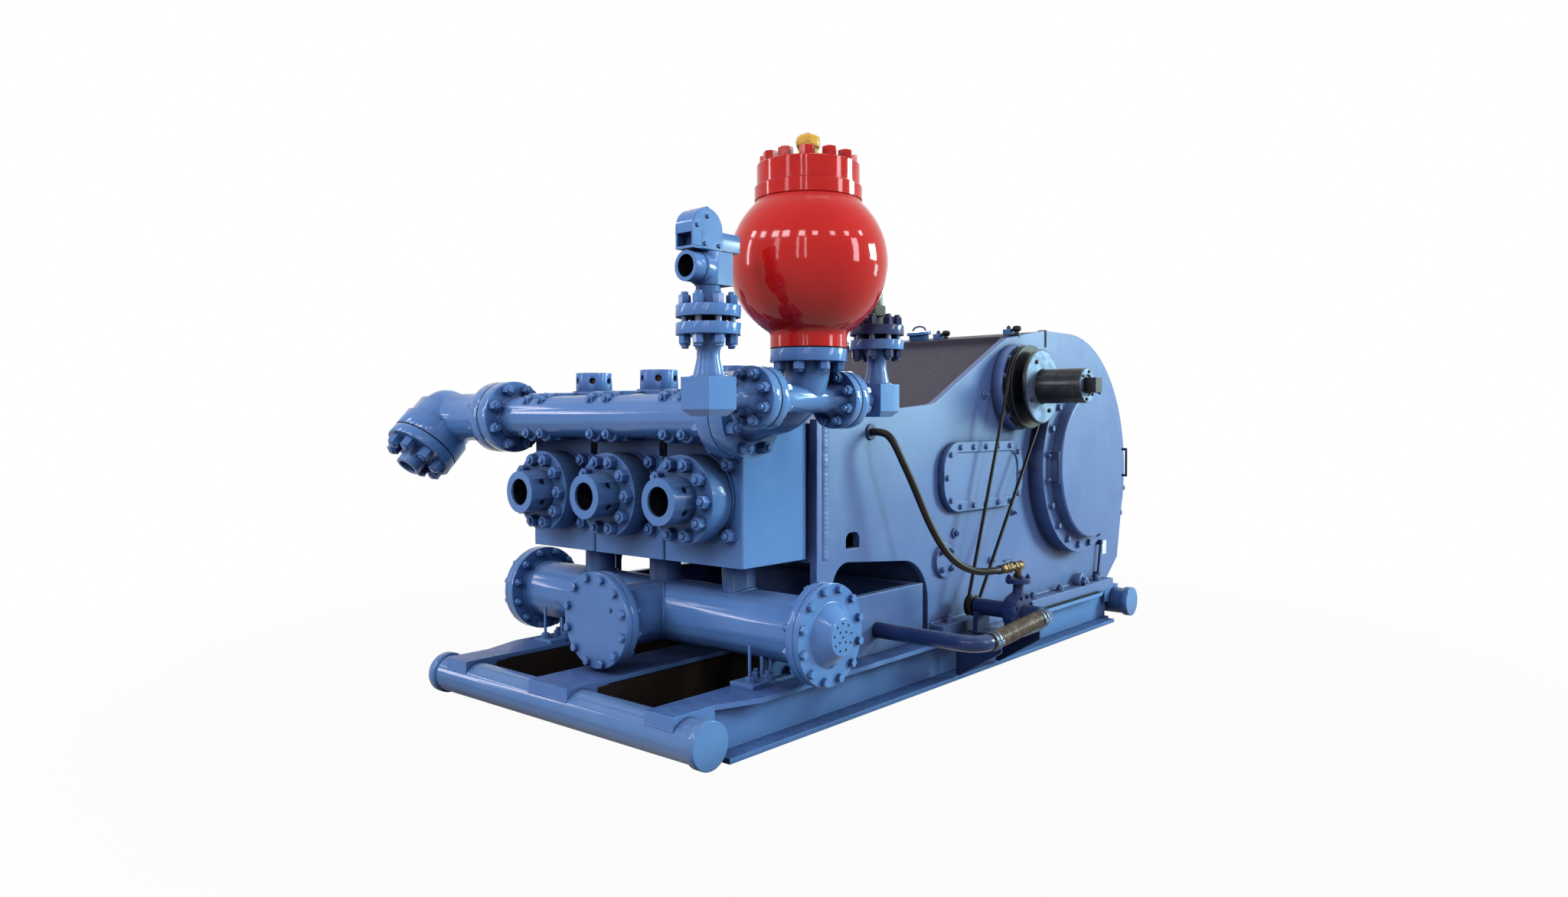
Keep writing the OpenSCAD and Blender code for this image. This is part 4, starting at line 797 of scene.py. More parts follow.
def saddle(centre: Vector, run: Vector, up: Vector, small: float, large: float, count: int = 48) -> list[Vector]:
    """Line where a round branch meets a round pipe.

    Args:
        centre: Point on the pipe's axis under the branch, in metres.
        run: Direction of the pipe.
        up: Direction of the branch.
        small: Branch's diameter, in millimetres.
        large: Pipe's diameter, in millimetres.
        count: Number of points.

    Returns:
        The points in order, in metres.
    """
    side = run.cross(up)
    points = []
    for i in range(count):
        a = 2.0 * math.pi * i / count
        along, off = small / 2.0 * math.cos(a), small / 2.0 * math.sin(a)
        rise = math.sqrt(max((large / 2.0) ** 2 - off ** 2, 0.0))
        points.append(centre + (run * along + side * off + up * rise) * MM)
    return points


@dataclass
class PackedNodes:
    """The CAD nodes themselves: their finishes and the small radii on their edges."""

    nodes: dict[str, bpy.types.Object]
    edge_mm: float = 4.0
    edge_from_deg: float = 40.0
    edge_segments: int = 2
    joined_mm: float = 0.02
    flat_deg: float = 0.5
    finishes: dict[Finish, tuple[str, ...]] = field(default_factory=lambda: {
        Finish.RED: ("dampener_body", "dampener_cover"),
        Finish.YELLOW: ("dampener_charging_cap",),
        Finish.COVER: tuple(f"cylinder_cover_{column.value}" for column in Column),
        Finish.NAVY: ("bearing_cover_handles", "gauge_stub"),
        Finish.HOOD: ("crankcase_hood",),
        Finish.GREASE: ("pinion_shaft", "spray_pump_pulley"),
        Finish.RUBBER: ("spray_belt", "wash_hose"),
        Finish.PUMP_BLUE: ("spray_pump", "spray_suction_pipe", "spray_pump_bracket", "wash_gland"),
        Finish.RIBBED: ("spray_suction_hose",),
        Finish.BRASS: ("wash_valve",),
        Finish.STEEL: ("wash_valve_lever",),
        Finish.PLATE: ("frame_side_left", "frame_side_right", "frame_walls", "rear_shell", "inspection_covers",
                       "pinion_bearings", "wash_tank"),
        Finish.BEARING: ("main_bearing_covers",),
        Finish.SKID: ("skid_beam_left", "skid_beam_right", "skid_beam_centre"),
        Finish.MUD: ("skid_cross_members",),
        Finish.TUBE: ("skid_cross_tubes",),
    })

    def dress(self) -> None:
        """Paint every node and round its edges; a node that no finish names is plain blue."""
        chosen = {name: finish for finish, names in self.finishes.items() for name in names}
        for name, node in self.nodes.items():
            node.data.materials.clear()
            node.data.materials.append(chosen.get(name, Finish.BLUE).material())
            self.round_edges(node)
            LOG.info("dressed %s", name)

    def round_edges(self, node: bpy.types.Object) -> None:
        """Give a node the radius of a dressed and painted edge.

        Args:
            node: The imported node's object.
        """
        weld = node.modifiers.new("joined", "WELD")
        weld.merge_threshold = self.joined_mm * MM
        flat = node.modifiers.new("plates", "DECIMATE")
        flat.decimate_type = "DISSOLVE"
        flat.angle_limit = math.radians(self.flat_deg)
        bevel = node.modifiers.new("edges", "BEVEL")
        bevel.width = self.edge_mm * MM
        bevel.segments = self.edge_segments
        bevel.limit_method = "ANGLE"
        bevel.angle_limit = math.radians(self.edge_from_deg)
        bevel.harden_normals = True


@dataclass(frozen=True)
class Lamp:
    """One rectangular lamp: its sizes are in millimetres, its power in watts and its tint is linear."""

    name: str
    place: tuple[float, ...]
    target: Triple
    size: Pair
    power: float
    tint: Triple

    def hang(self) -> None:
        """Hang the lamp so that it faces its target."""
        data = bpy.data.lights.new(self.name, "AREA")
        data.shape = "RECTANGLE"
        data.size, data.size_y = (v * MM for v in self.size)
        data.energy = self.power
        data.color = self.tint
        lamp = bpy.data.objects.new(self.name, data)
        aim = (Vector(self.target) - Vector(self.place)).to_track_quat("-Z", "Y")
        lamp.matrix_world = Matrix.Translation(Vector(self.place) * MM) @ aim.to_matrix().to_4x4()
        bpy.context.scene.collection.objects.link(lamp)


@dataclass
class Studio:
    """Camera at the photograph's place, a hall's windows, doors and gates as lamps, and a pale floor.

    A window is given by its turn from the camera's direction and its width, and a door by those and its power.
    A reach is a lamp's distance from the hub and its height.
    """

    place: Triple = (3999.3, -5278.8, 1493.0)
    azimuth: float = 40.4843
    dip: float = 1.4745
    roll: float = -0.1274
    focal_px: float = 1335.0
    frame_px: tuple[int, int] = (2048, 1172)
    sensor_mm: float = 36.0
    sight_m: float = 200.0
    hub: Triple = (300.0, -900.0, 0.0)
    windows: tuple[Pair, ...] = (
        (-86.0, 1200.0), (-66.0, 1300.0), (-45.0, 1500.0), (-30.0, 1500.0), (-9.0, 1250.0), (8.0, 1000.0),
        (31.0, 950.0), (52.0, 950.0), (78.0, 950.0),
    )
    window_reach: Pair = (8600.0, 7000.0)
    window_target: Triple = (300.0, -900.0, 1200.0)
    window_tall: float = 0.86
    window_watts: float = 70.0
    window_tint: Triple = (1.0, 0.95, 1.0)
    doors: tuple[Triple, ...] = (
        (-86.0, 600.0, 135.0), (-39.0, 900.0, 80.0), (-13.0, 330.0, 44.0), (-4.0, 330.0, 44.0),
        (60.0, 1300.0, 260.0),
    )
    door_reach: Pair = (8400.0, 3900.0)
    door_target: Triple = (700.0, -1500.0, 1500.0)
    door_h: float = 3600.0
    door_tint: Triple = (1.0, 0.92, 0.98)
    lamps: tuple[Lamp, ...] = (
        Lamp("hall", (13000, 14500, 6500), (700, 200, 1200), (5200, 4600), 4500.0, (0.68, 1.0, 0.92)),
        Lamp("gate", (5700, 6270, 1900), (836, -730, 1470), (1300, 1400), 62.0, (0.5, 1.0, 1.0)),
        Lamp("rear_gate", (-5600, 6900, 3000), (300, -900, 1500), (3000, 1500), 260.0, (0.72, 1.0, 1.0)),
        Lamp("roof", (-600, 300, 8200), (0, 0, 0), (2400, 5200), 40.0, (0.95, 0.98, 1.0)),
    )
    floor_colour: str = "#66666e"
    floor_half_m: float = 40.0
    floor_white: float = 0.965
    clear_floor: Pair = (2600.0, 6200.0)
    fill_tint: tuple[float, float, float, float] = (0.95, 0.95, 1.0, 1.0)
    fill_level: float = 0.05

    def build(self) -> None:
        """Set up the camera, lamps, floor and surround."""
        self.camera()
        for i, (turn, width) in enumerate(self.windows):
            size = (width, width * self.window_tall)
            power = self.window_watts * size[0] * size[1] * MM * MM
            place = self.in_hall(turn, *self.window_reach)
            Lamp(f"window_{i}", place, self.window_target, size, power, self.window_tint).hang()
        for i, (turn, width, power) in enumerate(self.doors):
            place = self.in_hall(turn, *self.door_reach)
            Lamp(f"door_{i}", place, self.door_target, (width, self.door_h), power, self.door_tint).hang()
        for lamp in self.lamps:
            lamp.hang()
        self.floor()
        self.surround()

    def in_hall(self, turn: float, reach: float, height: float) -> tuple[float, ...]:
        """Place in the hall round the pump.

        Args:
            turn: Angle about the hub from the camera's direction, in degrees.
            reach: Distance from the hub, in millimetres.
            height: Height above the floor, in millimetres.

        Returns:
            The place, in millimetres.
        """
        a = math.radians(self.azimuth + turn)
        out = Vector((math.sin(a), -math.cos(a), 0.0))
        return tuple(Vector(self.hub) + out * reach + Z_AXIS * height)

    def camera(self) -> None:
        """Place the camera as the photograph's edges say."""
        a, e, r = (math.radians(v) for v in (self.azimuth, self.dip, self.roll))
        ahead = Vector((-math.sin(a) * math.cos(e), math.cos(a) * math.cos(e), -math.sin(e)))
        level = Vector((math.cos(a), math.sin(a), 0.0))
        upright = level.cross(ahead)
        right = level * math.cos(r) + upright * math.sin(r)
        up = upright * math.cos(r) - level * math.sin(r)
        data = bpy.data.cameras.new("photo_camera")
        data.sensor_width = self.sensor_mm
        data.lens = self.focal_px * self.sensor_mm / self.frame_px[0]
        data.clip_end = self.sight_m
        camera = bpy.data.objects.new("photo_camera", data)
        turn = Matrix((right, up, -ahead)).transposed().to_4x4()
        camera.matrix_world = Matrix.Translation(Vector(self.place) * MM) @ turn
        bpy.context.scene.collection.objects.link(camera)
        bpy.context.scene.camera = camera

    def floor(self) -> None:
        """Lay a pale floor that keeps a soft shadow and fades into the white surround away from the pump."""
        material, tree = blank_material("pale_floor")
        place = add_node(tree, "ShaderNodeTexCoord").outputs["Object"]
        reach = add_node(tree, "ShaderNodeVectorMath", links={0: place}, operation="LENGTH")
        near, far = (v * MM for v in self.clear_floor)
        fade = add_node(tree, "ShaderNodeMapRange", {"From Min": near, "From Max": far, "To Min": self.floor_white},
                        {"Value": reach.outputs["Value"]}, interpolation_type="SMOOTHSTEP")
        seen = self.seen_rays(tree)
        share = add_node(tree, "ShaderNodeMath", links={0: fade.outputs["Result"], 1: seen}, operation="MULTIPLY")
        matt = add_node(tree, "ShaderNodeBsdfDiffuse", {"Color": linear(self.floor_colour)})
        white = add_node(tree, "ShaderNodeEmission", {"Strength": 1.0})
        blend = add_node(tree, "ShaderNodeMixShader",
                         links={0: share.outputs[0], 1: matt.outputs[0], 2: white.outputs[0]})
        tree.links.new(blend.outputs[0], tree.nodes["Material Output"].inputs[0])
        data = bpy.data.meshes.new("floor")
        half = self.floor_half_m
        data.from_pydata([(-half, -half, 0), (half, -half, 0), (half, half, 0), (-half, half, 0)], [], [(0, 1, 2, 3)])
        data.materials.append(material)
        floor = bpy.data.objects.new("floor", data)
        bpy.context.scene.collection.objects.link(floor)

    def seen_rays(self, tree: bpy.types.NodeTree) -> bpy.types.NodeSocket:
        """Tell the rays that show the background from those that only carry light.

        Args:
            tree: Node tree of the floor or the surround.

        Returns:
            Socket that is 1 for camera, glossy and transmission rays.
        """
        rays = add_node(tree, "ShaderNodeLightPath")
        glossy = add_node(tree, "ShaderNodeMath", operation="MAXIMUM",
                          links={0: rays.outputs["Is Camera Ray"], 1: rays.outputs["Is Glossy Ray"]})
        seen = add_node(tree, "ShaderNodeMath", operation="MAXIMUM",
                        links={0: glossy.outputs[0], 1: rays.outputs["Is Transmission Ray"]})
        return seen.outputs[0]

    def surround(self) -> None:
        """White surround for the eye and for reflections, and a softer level of light from it."""
        world = bpy.data.worlds.new("studio")
        world.use_nodes = True
        tree = world.node_tree
        tree.nodes.clear()
        output = add_node(tree, "ShaderNodeOutputWorld")
        fill = add_node(tree, "ShaderNodeBackground", {"Color": self.fill_tint, "Strength": self.fill_level})
        white = add_node(tree, "ShaderNodeBackground", {"Color": (1.0, 1.0, 1.0, 1.0), "Strength": 1.0})
        blend = add_node(tree, "ShaderNodeMixShader",
                         links={0: self.seen_rays(tree), 1: fill.outputs[0], 2: white.outputs[0]})
        tree.links.new(blend.outputs[0], output.inputs[0])
        bpy.context.scene.world = world
        bpy.context.scene.view_settings.view_transform = "Standard"


@dataclass
class WashHose:
    """The free rubber hose from the gland in the side plate to the brass tail."""

    diameter: float = 40.0
    route: tuple[Triple, ...] = (
        (0.846, -0.868, 1.440), (0.890, -0.868, 1.440), (0.934, -0.866, 1.430), (0.968, -0.862, 1.400),
        (0.990, -0.848, 1.354), (1.006, -0.822, 1.293), (1.018, -0.786, 1.226), (1.030, -0.748, 1.154),
        (1.042, -0.712, 1.080), (1.056, -0.677, 1.004), (1.074, -0.641, 0.928), (1.096, -0.602, 0.854),
        (1.122, -0.555, 0.784), (1.150, -0.494, 0.728), (1.180, -0.424, 0.692), (1.208, -0.360, 0.676),
        (1.234, -0.300, 0.674), (1.249, -0.245, 0.674), (1.249, -0.205, 0.674),
    )

    def build(self) -> None:
        curve = bpy.data.curves.new("wash_hose_rubber", "CURVE")
        curve.dimensions = "3D"
        curve.bevel_depth = self.diameter / 2.0 * MM
        curve.bevel_resolution = 5
        curve.use_fill_caps = True
        spline = curve.splines.new("POLY")
        points = self.smooth()
        spline.points.add(len(points) - 1)
        for knot, point in zip(spline.points, points):
            knot.co = (*point, 1.0)
        spline.use_smooth = True
        curve.materials.append(Finish.RUBBER.material())
        hose = bpy.data.objects.new("wash_hose_rubber", curve)
        bpy.context.scene.collection.objects.link(hose)
        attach(hose, PUMP)
        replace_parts(hose, "wash_hose")

    def smooth(self, steps: int = 6) -> list[Vector]:
        """Round the route between its points.

        Args:
            steps: Points laid between two of the route's own.

        Returns:
            Points of the smooth axis, in metres.
        """
        knots = [Vector(p) for p in self.route]
        ends = [knots[0] * 2 - knots[1], *knots, knots[-1] * 2 - knots[-2]]
        points = []
        for a, b, c, d in zip(ends, ends[1:], ends[2:], ends[3:]):
            for k in range(steps):
                t = k / steps
                points.append(0.5 * (b * 2 + (c - a) * t + (a * 2 - b * 5 + c * 4 - d) * t * t
                                     + (b * 3 - a - c * 3 + d) * t ** 3))
        return [*points, knots[-1]]


@dataclass
class Skid:
    """Welds on the cross tubes' caps and the beams' noses, the toes, a dark drip pan that paints the cavity's shade,
    and dark strips that paint the foot rails' shadow lines.
    """

    cap_t: float = 50.0
    tube_d: float = 190.0
    tube_z: float = 137.0
    tube_inset: float = 107.0
    bead_r: float = 7.0
    wedge_l: float = 120.0
    wedge_z: Pair = (186.0, 228.0)
    nose_z: float = 188.0
    web_half: float = 20.0
    web_l: float = 40.0
    web_z: Pair = (60.0, 190.0)
    toe_x: Pair = (868.0, 950.0)
    toe_y: Pair = (1854.0, 2075.0)
    toe_z: Pair = (0.5, 25.0)
    # A dark pan that lines the cavity between the beams: painted shade, with dried mud.
    pan_x: Pair = (152.0, 688.0)
    pan_y: Pair = (-2150.0, -1275.0)
    pan_z: Pair = (26.0, 222.0)
    pan_t: float = 6.0
    # A dark strip under each foot rail's edge: painted shadow of the gap there.
    rail_shadow_x: Pair = (929.0, 943.0)
    rail_shadow_y: Pair = (937.0, 1823.0)
    rail_shadow_z: Pair = (250.0, 262.0)

    def build(self) -> None:
        """Weld the skid together."""
        tubes = Span.of("skid_cross_tubes")
        welds = Sketch("skid_welds", Finish.SKID)
        reach = tubes.high.x / MM - self.cap_t
        for y in (tubes.low.y / MM + self.tube_inset, tubes.high.y / MM - self.tube_inset):
            for side in Side:
                centre = at(side.value * reach, y, self.tube_z)
                welds.bead(ring_places(centre, X_AXIS, self.tube_d + 4.0, 48), self.bead_r)
        for node in ("skid_beam_left", "skid_beam_centre", "skid_beam_right"):
            self.weld_beam(welds, node)
        for side in Side:
            for way in (-1.0, 1.0):
                welds.box(side.span(*self.toe_x), sorted(way * y for y in self.toe_y), self.toe_z)
        welds.finish_piece()
        self.shade_pan()
        self.rail_shadow_strips()

    def weld_beam(self, welds: Sketch, node: str) -> None:
        """Close the wedge between a beam's noses and the cross tubes, weld their feet and fill the web's ends.

        Args:
            welds: Sketch that takes the plates and the beads.
            node: Name of the beam's node.
        """
        beam = Span.of(node)
        corners = [v.co for v in bpy.data.objects[node].data.vertices]
        for end, way in ((beam.low.y, 1.0), (beam.high.y, -1.0)):
            nose = [c.x / MM for c in corners if abs(c.y - end) < MM]
            x0, x1 = min(nose), max(nose)
            wedge = sorted((end / MM + way, end / MM + way * self.wedge_l))
            welds.box((x0 + 1.0, x1 - 1.0), wedge, self.wedge_z, 0.5)
            foot = end / MM + way * 2.0
            welds.bead([at(x, foot, self.nose_z) for x in (x0, x1)], self.bead_r, closed=False)
        toes = [c.y / MM for c in corners if c.z < 20.0 * MM]
        middle = beam.mid.x / MM
        for toe, reach in ((min(toes), -self.web_l), (max(toes), self.web_l)):
            welds.box((middle - self.web_half, middle + self.web_half), sorted((toe, toe + reach)), self.web_z)

    def shade_pan(self) -> None:
        """Hang a drip pan between the beams under the fluid end: a dark, muddy box whose walls line the beams and paint
        the cavity's shade.
        """
        pan = Sketch("drip_pan", Finish.MUD)
        (y0, y1), (z0, z1), t = self.pan_y, self.pan_z, self.pan_t
        for side in Side:
            x0, x1 = side.span(*self.pan_x)
            pan.box((x0, x1), (y0, y1), (z0, z0 + t), 1.0)
            for x, y in (((x0, x0 + t), (y0, y1)), ((x1 - t, x1), (y0, y1)), ((x0, x1), (y1 - t, y1))):
                pan.box(x, y, (z0 + t, z1), 1.0)
        pan.finish_piece()

    def rail_shadow_strips(self) -> None:
        """Lay dark strips under the foot rails' edges: painted shadow of the gap between rail and beam."""
        packing = Sketch("foot_shims", Finish.GASKET)
        for side in Side:
            packing.box(side.span(*self.rail_shadow_x), self.rail_shadow_y, self.rail_shadow_z)
        packing.finish_piece()


@dataclass
class SuctionManifold:
    """Bolts, gaskets and welds of the suction manifold, and its stands' feet."""

    bolt: Fastener = Fastener(36, 22)
    stud: Fastener = Fastener(36, 26, 24, 12)
    vent: Fastener = Fastener(18, 10)
    vent_place: Triple = (118.0, 0.0, 66.0)
    foot_nut: Fastener = Fastener(40, 28, 26, 16, 62)
    short_rod: Fastener = Fastener(40, 28, 16, 120, 62)
    long_rod: Fastener = Fastener(40, 28, 16, 150, 62)
    pitch: float = 432.0
    count: int = 12
    start: float = 15.0
    gasket: Triple = (479.0, 330.0, 4.0)
    pipe_d: float = 324.0
    riser_d: float = 168.0
    riser_top: float = 808.0
    axis_y: float = -1567.0
    axis_z: float = 508.0
    flange_t: float = 40.0
    cover_t: float = 34.0
    crown_t: float = 104.0
    crown_spots: tuple[tuple[float, int, float], ...] = ((128.0, 9, 10.0), (64.0, 4, 40.0), (1.0, 1, 0.0))
    crown_spot: Profile = ((5.5, -2), (5.5, 1.2), (0, 2))
    seat_x: float = 1080.0
    branch_neck_y: float = -1967.0
    foot_x: Pair = (806.0, 734.0)
    foot_y: Pair = (-1662.0, -1472.0)
    foot_z: float = 270.0
    short_rod_place: Pair = (806.0, -1640.0)
    long_rod_place: Pair = (785.0, -1765.0)
    pad_x: Pair = (692.0, 838.0)
    pad_y: Pair = (-1800.0, -1690.0)
    pad_z: Pair = (250.0, 272.0)

    def build(self) -> None:
        """Bolt the covers on, and weld the risers and the branch."""
        bolts = Sketch("suction_bolts", Finish.BLUE)
        gaskets = Sketch("suction_gaskets", Finish.GASKET)
        self.front(bolts, gaskets)
        for side in Side:
            self.end(side, bolts, gaskets)
        self.feet(bolts)
        bolts.finish_piece()
        gaskets.finish_piece()
        self.welds()

    def ring(self, bolts: Sketch, face: Vector, back: Vector, axis: Vector, out: Vector) -> None:
        """Set a ring of bolt heads on a cover and a ring of nuts behind its flange.

        Args:
            bolts: Sketch that takes the bolts.
            face: Centre of the cover's outer face, in metres.
            back: Centre of the flange's rear face, in metres.
            axis: Axis that the rings are laid out on.
            out: Direction out of the cover.
        """
        for kind, centre, way in ((self.bolt, face, out), (self.stud, back, -out)):
            bolts.fasteners(kind, ring_places(centre, axis, self.pitch, self.count, self.start), way)

    def front(self, bolts: Sketch, gaskets: Sketch) -> None:
        """Bolt the blind cover on the front branch.

        Args:
            bolts: Sketch that takes the bolts.
            gaskets: Sketch that takes the gasket.
        """
        cover = Span.of("suction_front_cover")
        face = Vector((0.0, cover.low.y, self.axis_z * MM))
        seat = Vector((0.0, cover.high.y, self.axis_z * MM))
        self.ring(bolts, face, seat + Y_AXIS * self.flange_t * MM, Y_AXIS, -Y_AXIS)
        self.vent.add(bolts, face + at(*self.vent_place), -Y_AXIS)
        gaskets.hoop(seat - Y_AXIS * (self.gasket[2] / 2.0 * MM), Y_AXIS, *self.gasket)

    def end(self, side: Side, bolts: Sketch, gaskets: Sketch) -> None:
        """Bolt the cover on one end of the manifold, with dark spots on the right one's crown.

        Args:
            side: Which end.
            bolts: Sketch that takes the bolts.
            gaskets: Sketch that takes the gasket and the spots.
        """
        out = side.out
        seat = at(side.value * self.seat_x, self.axis_y, self.axis_z)
        self.ring(bolts, seat + out * self.cover_t * MM, seat - out * self.flange_t * MM, X_AXIS, out)
        gaskets.hoop(seat - out * (self.gasket[2] / 2.0 * MM), out, *self.gasket)
        if side is Side.RIGHT:
            crown = seat + out * self.crown_t * MM
            for pitch, count, start in self.crown_spots:
                for spot in ring_places(crown, X_AXIS, pitch, count, start):
                    gaskets.lathe(stand(spot, out), self.crown_spot, 12)

    def feet(self, bolts: Sketch) -> None:
        """Bolt the stands' feet to the side beams, and add the pads in front of them with their rods.

        Args:
            bolts: Sketch that takes the bolts and the pads.
        """
        for side in Side:
            for y in self.foot_y:
                for x, spin in zip(self.foot_x, (0.0, 20.0)):
                    self.foot_nut.add(bolts, at(side.value * x, y, self.foot_z), Z_AXIS, spin)
            x, y = self.short_rod_place
            self.short_rod.add(bolts, at(side.value * x, y, self.foot_z), Z_AXIS, 9.0)
            bolts.box(side.span(*self.pad_x), self.pad_y, self.pad_z)
            x, y = self.long_rod_place
            self.long_rod.add(bolts, at(side.value * x, y, self.pad_z[1]), Z_AXIS, 9.0)

    def welds(self) -> None:
        """Weld the risers at both ends, the branch's throat and the flanges' necks."""
        welds = Sketch("suction_welds", Finish.BLUE)
        for column in Column:
            foot = at(column.x, self.axis_y, self.axis_z)
            welds.bead(saddle(foot, X_AXIS, Z_AXIS, self.riser_d + 6, self.pipe_d), 10.0)
            top = at(column.x, self.axis_y, self.riser_top)
            welds.bead(ring_places(top, Z_AXIS, self.riser_d + 4, 40), 7.0)
        throat = at(0.0, self.axis_y, self.axis_z)
        welds.bead(saddle(throat, X_AXIS, -Y_AXIS, self.pipe_d - 8, self.pipe_d), 9.0)
        for side in Side:
            neck = at(side.value * (self.seat_x - self.flange_t), self.axis_y, self.axis_z)
            welds.bead(ring_places(neck, X_AXIS, self.pipe_d + 4, 64), 9.0)
        welds.bead(ring_places(at(0.0, self.branch_neck_y, self.axis_z), Y_AXIS, self.pipe_d, 64), 9.0)
        welds.finish_piece()


@dataclass
class FluidEnd:
    """Bolting on the three cylinder covers and modules, the seams between them and the valve covers' dress."""

    cover_nut: Fastener = Fastener(57, 42, 32, 13)
    corner_nut: Fastener = Fastener(57, 42, 32, 13, 80)
    pad_nut: Fastener = Fastener(50, 38, 28, 13)
    cover_t: float = 138.0
    cover_pitch: float = 342.0
    cover_count: int = 10
    cover_lip: Triple = (446.0, 420.0, 9.0)
    corner_x: float = 196.0
    corner_z: float = 166.0
    # The ring plug's inner end in its bore, in dark greased steel that also paints the bore's shade.
    liner_end_and_bore_shade: Profile = (
        (69.4, 136), (69.4, 0), (40, 2), (40, 30), (34, 36), (17, 36), (17, 62), (12, 66), (0, 66),
    )
    seam_x: float = LINE_GAP / 2.0
    seam_half: float = 3.6
    seam_y: Pair = (-1816.0, -1330.0)
    seam_z: Pair = (822.0, 1648.0)
    # Dark blocks under the discharge pads: painted shade of the notches there.
    notch_shade_half: float = 17.0
    notch_shade_y: Pair = (-1829.0, -1810.0)
    notch_shade_z: Pair = (1362.0, 1412.0)
    pad_x: float = 62.0
    pad_z: Pair = (1437.0, 1610.0)
    pad_face_y: float = -1988.0
    spot_face: Profile = ((42, -90), (42, -4), (38, 0), (0, 0))
    valve_y: float = -1605.0
    valve_z: float = 1655.0
    valve_rim: Triple = (236.0, 198.0, 12.0)
    bar_hole: Profile = ((16.6, 0), (16.6, 6), (9, 9), (0, 9))
    bar_hole_r: float = 42.0
    bar_hole_z: float = 67.8

    def build(self) -> None:
        """Bolt on each cover and close the seams."""
        for column in Column:
            self.bolt_cover(column)
        self.seams()
        self.pads()
        self.valve_covers()

    def bolt_cover(self, column: Column) -> None:
        """Add one cover's ring of nuts, its module's corner nuts and the liner's end in the ring, whose dark greased
        steel also paints the bore's shade.

        Args:
            column: Which pumping line.
        """
        cover = Span.of(f"cylinder_cover_{column.value}")
        sketch = Sketch(f"cover_nuts_{column.value}", Finish.BLUE)
        centre = Vector((cover.mid.x, cover.high.y - self.cover_t * MM, cover.mid.z))
        sketch.fasteners(self.cover_nut, ring_places(centre, -Y_AXIS, self.cover_pitch, self.cover_count), -Y_AXIS)
        face = Vector((cover.mid.x, cover.high.y, cover.mid.z))
        corners = [face + at(i * self.corner_x, 0.0, k * self.corner_z) for i in (-1, 1) for k in (-1, 1)]
        sketch.fasteners(self.corner_nut, corners, -Y_AXIS)
        sketch.hoop(face, -Y_AXIS, *self.cover_lip)
        sketch.finish_piece()
        bore = Sketch(f"ring_bore_{column.value}", Finish.GREASE)
        bore.lathe(stand(centre + at(0, 4, 0), -Y_AXIS), self.liner_end_and_bore_shade, 40)
        bore.finish_piece()

    def seams(self) -> None:
        """Pack the slots between the modules, and put dark blocks under the discharge pads as painted shade of the
        notches there.
        """
        packing = Sketch("module_seams", Finish.GASKET)
        for side in Side:
            x = side.value * self.seam_x
            packing.box((x - self.seam_half, x + self.seam_half), self.seam_y, self.seam_z, 0.5)
            packing.box((x - self.notch_shade_half, x + self.notch_shade_half), self.notch_shade_y, self.notch_shade_z)
        packing.finish_piece()

    def pads(self) -> None:
        """Fix the discharge manifold to each module with two pairs of studs on round spot faces."""
        nuts = Sketch("manifold_pad_nuts", Finish.BLUE)
        for column in Column:
            for side in Side:
                for z in self.pad_z:
                    spot = at(column.x + side.value * self.pad_x, self.pad_face_y, z)
                    nuts.lathe(stand(spot, -Y_AXIS), self.spot_face, 28)
                    self.pad_nut.add(nuts, spot, -Y_AXIS, 17.0 * side.value + z)
        nuts.finish_piece()

    def valve_covers(self) -> None:
        """Put a rim round each valve cover's foot and a rusty bottom in each of its bar holes."""
        caps = Sketch("valve_cover_plugs", Finish.BRASS)
        rims = Sketch("valve_cover_rims", Finish.BLUE)
        for column in Column:
            foot = at(column.x, self.valve_y, self.valve_z)
            rims.hoop(foot, Z_AXIS, *self.valve_rim)
            for turn in range(15, 375, 60):
                out = Vector((math.cos(math.radians(turn)), math.sin(math.radians(turn)), 0.0))
                spot = foot + out * self.bar_hole_r * MM + at(0, 0, self.bar_hole_z)
                caps.lathe(stand(spot, out), self.bar_hole, 18)
        caps.finish_piece()
        rims.finish_piece()


